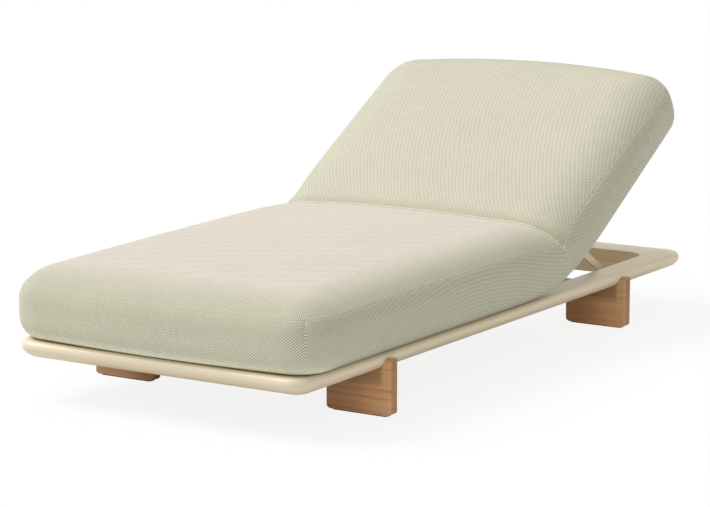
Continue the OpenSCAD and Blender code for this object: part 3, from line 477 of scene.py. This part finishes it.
def ring_list():
    """Rings from the base to the crown: inset, height terms and angle for seat and back."""
    out = []
    for u in LOW_SHARES:
        e = DRAW_IN * (1 - math.sqrt(1 - (1 - u) ** 2))
        out.append({"e": (e, e), "z": (DRAW_H * u, 0), "end": END_DRAW, "a": (-1, -1)})
    out.append({"e": (0, 0), "z": ((DRAW_H - TOP_DOWN) / 2, .5), "end": .7, "a": (-.5, -.5)})
    for pair in zip(SEAT_DEGS, BACK_DEGS):
        r = [math.radians(a) for a in pair]
        out.append({"e": tuple(TOP_IN * (1 - math.cos(q)) for q in r),
                    "dz": tuple(-TOP_DOWN * (1 - math.sin(q)) for q in r),
                    "z": (0, 1), "end": 1, "a": pair, "seam": pair[0] == SEAM_DEG})
    r = math.radians(SEAT_DEGS[-1])
    e1, z1 = TOP_IN * (1 - math.cos(r)), -TOP_DOWN * (1 - math.sin(r))
    for c in CROWN_SHARES:
        e = e1 + (HALF_W - e1) * c
        rise = z1 + CROWN * (1 - (1 - c) ** 2)
        out.append({"e": (e, e), "dz": (rise, rise), "z": (0, 1), "end": 1, "a": (90, 90)})
    return out


def chain(ring, side, thick, reach, drop):
    """Half a ring on one side of the fold: x, length, height and distance from the fold."""
    e = ring["e"][side]
    z = ring["z"][0] + ring["z"][1] * thick + ring.get("dz", (0, 0))[side]
    w = HALF_W - e
    r = min(max(CORNER_R - e, CORNER_R / 4), w)
    far = reach - e * ring["end"]
    y0 = z * TAN_F
    y1 = far - r
    inward = max(0.0, 1 - e / HALF_W)
    swell = SIDE_BULGE * inward * min(1, z / DRAW_H)
    bulge = (BACK_BULGE if side else SEAT_BULGE) * inward
    rest = y1 - y0 - NEAR[-1]
    steps = NEAR + [NEAR[-1] + rest * (k + 1) / (FAR_STEPS + 1) for k in range(FAR_STEPS)]
    flat = []
    for d in steps:
        k = d / (y1 - y0)
        flat.append((w + 4 * swell * k * (1 - k), y0 + d))
    for a in ARC_DEGS:
        q = math.radians(a)
        flat.append((w - r + r * math.sin(q), y1 + r * math.cos(q)))
    flat += [((w - r) * f, far + bulge * (1 - f * f)) for f in FRONT_SHARES]
    flat.append((0.0, far + bulge))
    share = z / thick
    out = []
    for x, y in flat:
        d = y - y0
        lift = BEND_R - math.sqrt(BEND_R ** 2 - (BEND_LEN - d) ** 2) if d < BEND_LEN else 0
        up = lift * (1 - min(1, share * LOW_FADE))
        near = max(0, 1 - d / BEND_LEN)
        k = min(1, max(0, y / reach))
        out.append([x, y + up * TAN_F * near, z + up - drop * k * k * share, d])
    return out


def outward(a):
    if a < 0:
        return 1.0, 0.0
    if a >= 90:
        return 0.0, 1.0
    q = math.radians(a)
    n = (math.cos(q) / TOP_IN, math.sin(q) / TOP_DOWN)
    m = math.hypot(*n)
    return n[0] / m, n[1] / m


def valley(x):
    return 1 - math.sqrt(1 - (1 - x) ** 2) if x < 1 else 0.0


def fold_halves(ring):
    """The two halves of a ring, brought together at the fold."""
    seat = chain(ring, 0, THICK, SEAT_REACH, SEAT_DROP)
    back = chain(ring, 1, THICK - THIN, BACK_REACH, 0.0)
    s0, b0 = list(seat[0]), list(back[0])
    mid = [(s0[i] + b0[i]) / 2 for i in range(3)]
    a = (ring["a"][0] + ring["a"][1]) / 2
    push, depth, radius = read(PUSH, a), read(DEPTH, a), read(VALLEY_R, a)
    nx, nz = outward(a)
    for points, first in ((seat, s0), (back, b0)):
        off = [mid[i] - first[i] for i in range(3)]
        for q in points:
            d = q[3]
            if d > NEAR[-1]:
                break
            k = smooth(1 - d / MEET_WAY)
            g = push * smooth(1 - d / PUSH_WAY) - depth * valley(d / radius)
            for i in range(3):
                q[i] += off[i] * k
            q[0] += nx * g
            q[2] += nz * g
            q[1] += nz * g * TAN_F * max(0, 1 - d / NOSE_WAY)
    return seat, back


def seat_place(q):
    return Vector((q[0], KINK_Y - q[1], CUSH_Z + q[2])) * MM


def back_place(q):
    s, p = KINK_S + q[1], BASE_P + q[2]
    c, n = math.cos(2 * FOLD), math.sin(2 * FOLD)
    return Vector((q[0], AXIS_Y + s * c - p * n, AXIS_Z + s * n + p * c)) * MM


def side_shift(place, q, side):
    """Small sideways shift of the cover, and the tuck at the left end of the fold."""
    far = smooth(q[3] / SHIFT_WAY)
    shift = SHIFT_SEAT + (SHIFT_BACK - SHIFT_SEAT) * far if place == "back" else SHIFT_SEAT
    if side < 0:
        high = smooth((q[2] - TUCK_LOW) / TUCK_HIGH)
        shift += TUCK * smooth(1 - q[3] / TUCK_WAY) * high * min(1.0, q[0] / TUCK_HALF)
    return shift


def raise_seam(rows, seam, low, rises):
    """Slides the rings near the seam up the surface, column by column."""
    for i, rise in enumerate(rises):
        if not rise:
            continue
        line = [row[i] for row in rows]
        run = [0.0]
        for a, b in zip(line, line[1:]):
            run.append(run[-1] + (b - a).length)
        moved = []
        for j in range(low, len(rows) - 1):
            at = run[j] + rise * smooth(1 - abs(run[j] - run[seam]) / SLIDE_WAY)
            k = next(n for n in range(1, len(run)) if run[n] >= at or n == len(run) - 1)
            share = (at - run[k - 1]) / max(run[k] - run[k - 1], 1e-9)
            moved.append((j, line[k - 1] + (line[k] - line[k - 1]) * share))
        for j, spot in moved:
            rows[j][i] = spot


def around(seat, back):
    """One closed ring: right fold point, back side, left fold point, seat side."""
    count = len(seat)
    out = [("back", q, 1) for q in back]
    out += [("back", q, -1) for q in back[count - 2::-1]]
    out += [("seat", q, -1) for q in seat[1:]]
    out += [("seat", q, 1) for q in seat[count - 2:0:-1]]
    return out


def seam_rise(spot, seat):
    """How far a seam point lies above its ring: highest along the right side of the seat."""
    x, y = spot.x / MM, spot.y / MM
    if not seat:
        run = math.hypot(y - AXIS_Y, spot.z / MM - AXIS_Z)
        along = smooth((BACK_RISE_END - run) / BACK_RISE_FADE)
        along *= smooth((run - BACK_RISE_START) / BACK_RISE_GROW)
        return RISE_BACK * smooth((x - BACK_RISE_X) / BACK_RISE_WIDE) * along * MM
    across = smooth((x + SEAT_RISE_X) / SEAT_RISE_WIDE)
    ahead = smooth((KINK_Y + SEAT_RISE_BEHIND - y) / SEAT_RISE_LONG)
    return (RISE_FRONT + RISE_SIDE * smooth((x - SIDE_RISE_X) / SIDE_RISE_WIDE)) * across * ahead * MM


def lengths_along(rows):
    """Length round the widest ring, and each column's length up from the base."""
    size = len(rows[0])
    wide = rows[len(LOW_SHARES) - 1]
    girth = [0.0]
    for i in range(1, size + 1):
        girth.append(girth[-1] + (wide[i % size] - wide[i - 1]).length)
    climb = [[0.0] * size]
    for below, above in zip(rows, rows[1:]):
        climb.append([climb[-1][i] + (above[i] - below[i]).length for i in range(size)])
    return girth, climb


def press(rows, j, i, way, up, depth, centre):
    """Draws one point in, square to the surface."""
    out = way.cross(up).normalized()
    if out.dot(rows[j][i] - centre) < 0:
        out.negate()
    rows[j][i] = rows[j][i] - out * depth * MM


def sew(rows, seam, corners):
    """Draws in the seam round the top and the four upright corner seams."""
    size = len(rows[0])
    centre = sum((spot / size for spot in rows[len(LOW_SHARES) - 1]), Vector((0, 0, 0)))
    for i in range(size):
        up = (rows[seam + 1][i] - rows[seam - 1][i]).normalized()
        way = (rows[seam][(i + 1) % size] - rows[seam][i - 1]).normalized()
        press(rows, seam, i, way, up, SEAM_IN, centre)
    for i in corners:
        for j in range(2, seam + 1):
            up = (rows[min(j + 1, len(rows) - 1)][i] - rows[j - 1][i]).normalized()
            way = (rows[j][(i + 1) % size] - rows[j][i - 1]).normalized()
            press(rows, j, i, way, up, SEAM_IN * CORNER_SHARE, centre)


def base_rings(first):
    """Rings drawn in towards the middle, all in the base surface."""
    out = []
    for share in BASE_SHARES:
        out.append([Vector((spot.x * share, spot.y, spot.z)) for spot in first])
    return out


def skin(height, size, extra, left, count):
    """Faces between the rings and over both ends, each with its panel's row and column."""
    faces, panels = [], []
    for j in range(height - 1):
        for i in range(size):
            k = (i + 1) % size
            faces.append((j * size + i, j * size + k, (j + 1) * size + k, (j + 1) * size + i))
            panels.append((j - extra, i))
    pairs = [(k, left - k) for k in range(count)][::-1]
    pairs += [((size - k) % size, left + k) for k in range(1, count)]
    for row_start, bottom in ((0, True), ((height - 1) * size, False)):
        for (a, b), (c, d) in zip(pairs, pairs[1:]):
            ring = [row_start + a, row_start + b, row_start + d, row_start + c]
            ring = [v for n, v in enumerate(ring) if v not in ring[:n]]
            if not bottom:
                ring.reverse()
            faces.append(tuple(ring))
            panels.append((-extra - 1 if bottom else height - extra, a))
    return faces, panels


def still_points(count, size, extra, seam, corners, left):
    """Points that the simulation holds: the base, the seams and the fold."""
    held = set()
    for v in range(count):
        row, col = divmod(v, size)
        row -= extra
        sewn_in = abs(row - seam) <= 1 or (row < seam and min(abs(col - c) for c in corners) <= 1)
        folded = min(col, abs(col - left), size - col) <= FOLD_HELD
        if row <= 0 or sewn_in or folded:
            held.add(v)
    return held


def make_mattress():
    rings = ring_list()
    seam = next(i for i, r in enumerate(rings) if r.get("seam"))
    corner = len(NEAR) + FAR_STEPS + ARC_DEGS.index(CORNER_DEG)
    rows, flats = [], []
    for ring in rings:
        seat, back = fold_halves(ring)
        row, flat = [], []
        for place, q, side in around(seat, back):
            spot = seat_place(q) if place == "seat" else back_place(q)
            spot.x = spot.x * side + side_shift(place, q, side) * MM
            row.append(spot)
            sign = -1 if place == "seat" else 1
            flat.append((q[0] * side, sign * q[1]))
        rows.append(row)
        flats.append(flat)
    size, count = len(rows[0]), len(seat)
    left = 2 * count - 2
    corners = [corner, left - corner, left + corner, size - corner]
    raise_seam(rows, seam, len(LOW_SHARES), [seam_rise(rows[seam][i], i >= left) for i in range(size)])
    girth, climb = lengths_along(rows)
    sew(rows, seam, corners)
    under = base_rings(rows[0])
    extra = len(under)
    verts = [spot for row in under[::-1] + rows for spot in row]
    faces, panels = skin(len(rows) + extra, size, extra, left, count)
    mesh = bpy.data.meshes.new("mattress")
    mesh.from_pydata(verts, [], faces)
    mesh.update()
    shell = bmesh.new()
    shell.from_mesh(mesh)
    bmesh.ops.recalc_face_normals(shell, faces=shell.faces)
    shell.to_mesh(mesh)
    shell.free()
    mesh.update()
    lay_cloth(mesh, panels, rows, flats, girth, climb, seam, corners, size, extra, left)
    piece = bpy.data.objects.new("mattress", mesh)
    bpy.context.scene.collection.objects.link(piece)
    for polygon in mesh.polygons:
        polygon.use_smooth = True
    mesh.materials.append(WEAVE)
    held = still_points(len(mesh.vertices), size, extra, seam, corners, left)
    return piece, rows, seam, left, held


CORD_LEAN = math.radians(39.7)
SEAM_WAY = 50 * MM
CRISP_WAY, FOLD_SHADE_WAY = 95 * MM, 48 * MM
SOFT_CRISP, CRISP_ROWS = 0.6, 6
LEVEL_WAY, BACK_WARM = 150 * MM, 0.35
BOLD = {"front": 0.72, "side": 0.36, "back side": 0.23, "top": 0.32}

# slow ribs of each panel, in turns for each millimetre, and how strongly they show
SEAT_SIDE_UP, SEAT_SIDE_UP_GROW, SEAT_SIDE_ALONG, SEAT_SIDE_ALONG_GROW = 0.079, 1.85e-5, 0.035, 3.3e-5
SEAT_SIDE_END, SEAT_SIDE_FADE = 1210, 60
BACK_SIDE_ALONG, BACK_SIDE_UP = 0.0279, 0.0906
BACK_ACROSS, BACK_ALONG, BACK_ALONG_DROP = 0.082, 0.050, 2.6e-5
CREASE_TURNS, CREASE_WAY = 5.0, 60
FRONT_ROUND_UP, FRONT_ROUND_ACROSS = 0.0354, 0.0786
SIDE_ROUND_UP, SIDE_ROUND_ALONG = 0.080, 0.0103
CROWN_ALONG, CROWN_ACROSS = 0.0143, 0.009
GAIN = {"seat side": 0.085, "back side": 0.06, "back": 0.082, "round": 0.045, "crown": 0.024}


def turned(u, v, angle):
    """Across and along cords that run at an angle to the cloth's first direction."""
    c, n = math.cos(angle), math.sin(angle)
    return v * c - u * n, u * c + v * n


def side_ribs(panel, run, up):
    """Place and strength of the ribs on a side panel, from the length along it and its height."""
    if panel == "front":
        return 0.0, 0.0
    if panel == "seat side":
        rib = up * (SEAT_SIDE_UP + SEAT_SIDE_UP_GROW * run)
        rib += (SEAT_SIDE_ALONG_GROW * run - SEAT_SIDE_ALONG) * run
        return rib, GAIN[panel] * smooth((SEAT_SIDE_END - run) / SEAT_SIDE_FADE)
    return BACK_SIDE_ALONG * run + BACK_SIDE_UP * up, GAIN[panel]


def top_ribs(panel, x, y, up, level):
    """Place and strength of the ribs on the top cloth, laid flat."""
    if panel == "back":
        rib = BACK_ACROSS * x + (BACK_ALONG - BACK_ALONG_DROP * y) * y
        return rib - CREASE_TURNS * math.exp(-max(0.0, y) / CREASE_WAY), GAIN["back"]
    if panel == "crown":
        return CROWN_ALONG * y - CROWN_ACROSS * x, GAIN["crown"]
    if panel == "front round":
        return FRONT_ROUND_UP * up - FRONT_ROUND_ACROSS * x, GAIN["round"] * (1 - level)
    return SIDE_ROUND_UP * up - SIDE_ROUND_ALONG * y, GAIN["round"] * (1 - level)


def lay_cloth(mesh, panels, rows, flats, girth, climb, seam, corners, size, extra, left):
    """Cloth coordinates per panel: cords, slow ribs and the way to the nearest seam."""
    for name in CLOTH_MAPS:
        mesh.uv_layers.new(name=name)
    for name in CLOTH_FIELDS:
        mesh.attributes.new(name, "FLOAT", "POINT")
    lay, ribs, sewn = [mesh.uv_layers[name] for name in CLOTH_MAPS]
    total = girth[-1]
    top_climb = climb[seam]
    crown = next(j for j, ring in enumerate(ring_list()) if ring["a"][0] >= CROWN_DEG)

    def unrolled(row, col):
        """Place on the top cloth, laid flat: crown as it is, the round pushed out by its length."""
        x, y = flats[max(row, crown)][col]
        if row < crown:
            ex, ey = flats[seam][col][0] - x, flats[seam][col][1] - y
            way = math.hypot(ex, ey) or 1.0
            run = (climb[crown][col] - climb[row][col]) / MM
            x, y = x + ex / way * run, y + ey / way * run
        return x, y

    def fold_start(i):
        """Length round the cover at which the fold nearest to a column stands."""
        if i >= corners[3]:
            return total
        return 0.0 if i < corners[0] else girth[left]

    for polygon, (j, i) in zip(mesh.polygons, panels):
        below = 0 <= j < seam
        end = corners[2] <= i < corners[3] or corners[0] <= i < corners[1]
        seat = i >= left
        near_corner = min(corners, key=lambda c: abs(girth[i] - girth[c]))
        upright = below and abs(girth[i] - girth[near_corner]) < abs(climb[j][i] - top_climb[i])
        for loop in polygon.loop_indices:
            row, col = divmod(mesh.loops[loop].vertex_index, size)
            row -= extra
            run = total if i == size - 1 and col == 0 else girth[col]
            up = climb[min(max(row, 0), len(climb) - 1)][col]
            if below:
                cords = turned(run, up, CORD_LEAN if end else -CORD_LEAN)
                panel = "front" if end else "seat side" if seat else "back side"
                rib = side_ribs(panel, abs(run - fold_start(i)) / MM, up / MM)
            elif j >= seam:
                x, y = unrolled(row, col)
                cords = turned(x * MM, y * MM, math.pi - CORD_LEAN if seat else CORD_LEAN)
                over = up - top_climb[col]
                level = min(1.0, over / (climb[crown][col] - top_climb[col]))
                panel = "front round" if end else "side round"
                if not seat:
                    panel = "back"
                elif row >= crown:
                    panel = "crown"
                rib = top_ribs(panel, x, y, over / MM, level)
            else:
                x, y = flats[0][col]
                cords = turned(x * MM, y * MM, CORD_LEAN)
                rib = 0.0, 0.0
            lay.data[loop].uv = cords
            ribs.data[loop].uv = rib
            if upright:
                place, way = up, run - girth[near_corner]
            else:
                place, way = run, up - top_climb[col] if j >= 0 else SEAM_WAY
            sewn.data[loop].uv = (place, min(SEAM_WAY, max(-SEAM_WAY, way)))
    mark_points(mesh, rows, flats, girth, climb, seam, corners, size, extra, left)


def mark_points(mesh, rows, flats, girth, climb, seam, corners, size, extra, left):
    """Fields over the cover: warm tone, bold weave, crisp seam and painted shade on the back along the fold.
    """
    warm, bold, crisp, hollow = [mesh.attributes[name] for name in CLOTH_FIELDS]
    for v in range(len(mesh.vertices)):
        row, col = divmod(v, size)
        row -= extra
        back, top = col <= left, row >= seam
        at = min(max(row, 0), len(rows) - 1)
        line = rows[at]
        level = smooth((climb[row][col] - climb[seam][col]) / LEVEL_WAY) if top else 0.0
        warm.data[v].value = level * (BACK_WARM if back else 1.0)
        aside = min((line[col] - rows[seam][c]).length for c in corners[2:])
        ahead = min(abs(girth[col] - girth[c]) for c in corners[2:])
        sharp = smooth(1 - (ahead if 0 <= row <= seam else aside) / CRISP_WAY)
        if abs(row - seam) < CRISP_ROWS and (col < corners[0] or corners[1] < col < left):
            sharp = max(sharp, SOFT_CRISP)
        crisp.data[v].value = sharp
        # painted shade on the back near the fold, fading away from it
        dip = 0.0
        if back and top:
            off = min((line[col] - line[0]).length, (line[col] - line[left]).length)
            dip = smooth(1 - min(off, abs(flats[at][col][1]) * MM) / FOLD_SHADE_WAY)
        hollow.data[v].value = dip
        if top:
            bold.data[v].value = BOLD["top"]
        elif corners[2] <= col <= corners[3] or corners[0] <= col <= corners[1]:
            bold.data[v].value = BOLD["front"]
        else:
            bold.data[v].value = BOLD["back side" if back else "side"]


# Blowing up the cover

PRESSURE, LAST_STEP = 4.0, 20


def plump(piece, held, cap):
    """Blows the sewn cover up a little by cloth simulation; base, seams and fold are held."""
    mesh = piece.data
    start = [v.co.copy() for v in mesh.vertices]
    group = piece.vertex_groups.new(name="held")
    group.add(sorted(held), 1.0, "REPLACE")
    cloth = piece.modifiers.new("Cloth", "CLOTH")
    settings = cloth.settings
    settings.quality = 5
    settings.mass = 0.05
    settings.bending_model = "LINEAR"
    settings.tension_stiffness = 30
    settings.compression_stiffness = 30
    settings.shear_stiffness = 12
    settings.bending_stiffness = 2
    settings.use_pressure = True
    settings.uniform_pressure_force = PRESSURE
    settings.vertex_group_mass = "held"
    settings.effector_weights.gravity = 0.0
    cloth.collision_settings.use_collision = False
    scene = bpy.context.scene
    graph = bpy.context.evaluated_depsgraph_get()
    for step in range(1, LAST_STEP + 1):
        scene.frame_set(step)
    moved = piece.evaluated_get(graph).to_mesh()
    ends = [v.co.copy() for v in moved.vertices]
    piece.evaluated_get(graph).to_mesh_clear()
    piece.modifiers.clear()
    piece.vertex_groups.clear()
    scene.frame_set(1)
    for v, a, b in zip(mesh.vertices, start, ends):
        shift = b - a
        v.co = a + shift * (cap / (cap + shift.length))
    mesh.update()


# Crease thread

THREAD_R, THREAD_UP, ZIG, ZIG_PITCH = 1.7 * MM, 2.3 * MM, 1.6 * MM, 5.2 * MM
RIM_COL = 4
BAR_PITCH, BAR_HALF, BAR_OUT = 8.0 * MM, 4.5 * MM, 1.2 * MM
BAR_RINGS, BAR_BEND_SHARE = 5, 0.3
TUBE_SIDE = Vector((0.3, -0.5, 0.81))
TINY = 1e-9

fold_way = Vector((0, math.cos(FOLD), math.sin(FOLD)))


def tube(verts, faces, path, radius, sides=6):
    """Adds a thin closed tube along a path."""
    start = len(verts)
    for k, spot in enumerate(path):
        way = (path[min(k + 1, len(path) - 1)] - path[max(k - 1, 0)]).normalized()
        first = way.cross(TUBE_SIDE).normalized()
        second = way.cross(first)
        for n in range(sides):
            q = TURN * n / sides
            verts.append(spot + (first * math.cos(q) + second * math.sin(q)) * radius)
    for k in range(len(path) - 1):
        for n in range(sides):
            a, b = start + k * sides + n, start + k * sides + (n + 1) % sides
            faces.append((a, b, b + sides, a + sides))
    faces.append(tuple(start + n for n in range(sides))[::-1])
    faces.append(tuple(start + (len(path) - 1) * sides + n for n in range(sides)))


def walk(path, pitch):
    """Places along a path at an even pitch, with the direction there."""
    out, left_over = [], 0.0
    for a, b in zip(path, path[1:]):
        length = (b - a).length
        way = (b - a) / max(length, TINY)
        at = left_over
        while at < length:
            out.append((a + way * at, way))
            at += pitch
        left_over = at - length
    return out


def make_crease_thread(rows, seam, left):
    """Zigzag thread in the fold of the top cloth, with a ladder of bars down each side."""
    size = len(rows[0])
    over = [row[size - RIM_COL] for row in rows[seam:]] + [row[left + RIM_COL] for row in rows[seam:][::-1]]
    verts, faces, path = [], [], []
    up = Vector((0, -math.sin(FOLD), math.cos(FOLD)))
    for k, (spot, way) in enumerate(walk(over, ZIG_PITCH)):
        swing = way.cross(up).normalized()
        path.append(spot + up * THREAD_UP + swing * (ZIG if k % 2 else -ZIG))
    tube(verts, faces, path, THREAD_R)
    for col, out in ((0, 1), (left, -1)):
        down = [row[col] for row in rows[seam - BAR_RINGS:seam + 1]][::-1]
        for spot, way in walk(down, BAR_PITCH):
            centre = spot + Vector((out * BAR_OUT, 0, 0))
            bar = [centre + fold_way * BAR_HALF * share for share in (-1, -BAR_BEND_SHARE, BAR_BEND_SHARE, 1)]
            tube(verts, faces, bar, THREAD_R)
    mesh = bpy.data.meshes.new("crease_thread")
    mesh.from_pydata(verts, [], faces)
    mesh.update()
    for polygon in mesh.polygons:
        polygon.use_smooth = True
    mesh.materials.append(THREAD)
    piece = bpy.data.objects.new("crease_thread", mesh)
    bpy.context.scene.collection.objects.link(piece)
    return piece


COVER_SWELL = 3 * MM
mattress, ring_rows, seam_row, left_fold, sewn_points = make_mattress()
plump(mattress, sewn_points, COVER_SWELL)
round_off = mattress.modifiers.new("round", "SUBSURF")
round_off.levels = 1
round_off.render_levels = 1
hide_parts("seat_cushion", "back_cushion")
thread = make_crease_thread(ring_rows, seam_row, left_fold)
for soft in (mattress, thread):
    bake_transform(soft)


# Stage, light and camera

FLOOR_HALF, FLOOR_GLOW, FLOOR_BOUNCE = 30.0, 0.87, 0.9
SKY_LEVEL = 0.45
SUN_WIDTH, KEY_LEVEL = 38.0, 0.72
KEY_WAY = (-0.38, -0.19, 0.60)
CAMERA_PLACE = (3.98312, -6.38178, 1.64006)
CAMERA_LENS, CAMERA_DIP, CAMERA_TURN, CAMERA_FAR = 138.71, 0.18, 0.566, 200.0


def make_stage():
    mesh = bpy.data.meshes.new("studio_floor")
    side = FLOOR_HALF
    verts = [(-side, -side, 0), (side, -side, 0), (side, side, 0), (-side, side, 0)]
    mesh.from_pydata(verts, [], [(0, 1, 2, 3)])
    floor = bpy.data.objects.new("studio_floor", mesh)
    bpy.context.scene.collection.objects.link(floor)
    look = Look("studio_floor_white")
    seen = look.add("ShaderNodeLightPath", out=RAY_OUT)
    matt = look.add("ShaderNodeBsdfDiffuse", None, {"Color": (0.97, 0.97, 0.97)})
    plain = look.add("ShaderNodeEmission", None, {"Color": (1.0, 1.0, 1.0), "Strength": 1.0})
    lit = look.add("ShaderNodeMixShader", None, {0: FLOOR_GLOW, 1: matt, 2: plain})
    other = look.add("ShaderNodeBsdfDiffuse", None, {"Color": (FLOOR_BOUNCE,) * 3})
    look.add_output(look.add("ShaderNodeMixShader", None, {0: seen, 1: other, 2: lit}))
    mesh.materials.append(look.material)


def make_sky():
    """Soft light on every side, which the camera and clear reflections see as plain white."""
    world = bpy.data.worlds.new("studio_sky")
    bpy.context.scene.world = world
    world.use_nodes = True
    tree = world.node_tree
    tree.nodes.clear()
    path = tree.nodes.new("ShaderNodeLightPath")
    seen = path.outputs["Is Camera Ray"]
    for ray in ("Is Glossy Ray", "Is Transmission Ray"):
        either = tree.nodes.new("ShaderNodeMath")
        either.operation = "MAXIMUM"
        tree.links.new(seen, either.inputs[0])
        tree.links.new(path.outputs[ray], either.inputs[1])
        seen = either.outputs[0]
    mix = tree.nodes.new("ShaderNodeMixShader")
    tree.links.new(seen, mix.inputs[0])
    for place, level in ((1, SKY_LEVEL), (2, 1.0)):
        light = tree.nodes.new("ShaderNodeBackground")
        light.inputs["Color"].default_value = (1.0, 1.0, 1.0, 1.0)
        light.inputs["Strength"].default_value = level
        tree.links.new(light.outputs[0], mix.inputs[place])
    out = tree.nodes.new("ShaderNodeOutputWorld")
    tree.links.new(mix.outputs[0], out.inputs["Surface"])


def make_sun(name, way, level):
    """A wide soft lamp far away; level is what a white face square to it gives back."""
    data = bpy.data.lights.new(name, "SUN")
    data.angle = math.radians(SUN_WIDTH)
    data.energy = level * math.pi
    lamp = bpy.data.objects.new(name, data)
    lamp.rotation_euler = Vector(way).normalized().to_track_quat("Z", "Y").to_euler()
    bpy.context.scene.collection.objects.link(lamp)


def make_camera():
    data = bpy.data.cameras.new("photo_camera")
    data.lens = CAMERA_LENS
    data.sensor_width = 36.0
    data.clip_end = CAMERA_FAR
    camera = bpy.data.objects.new("photo_camera", data)
    camera.location = CAMERA_PLACE
    camera.rotation_euler = (math.pi / 2 - CAMERA_DIP, 0.0, CAMERA_TURN)
    bpy.context.scene.collection.objects.link(camera)
    bpy.context.scene.camera = camera


make_stage()
make_sky()
make_sun("key", KEY_WAY, KEY_LEVEL)
make_camera()
bpy.context.scene.view_settings.view_transform = "Standard"
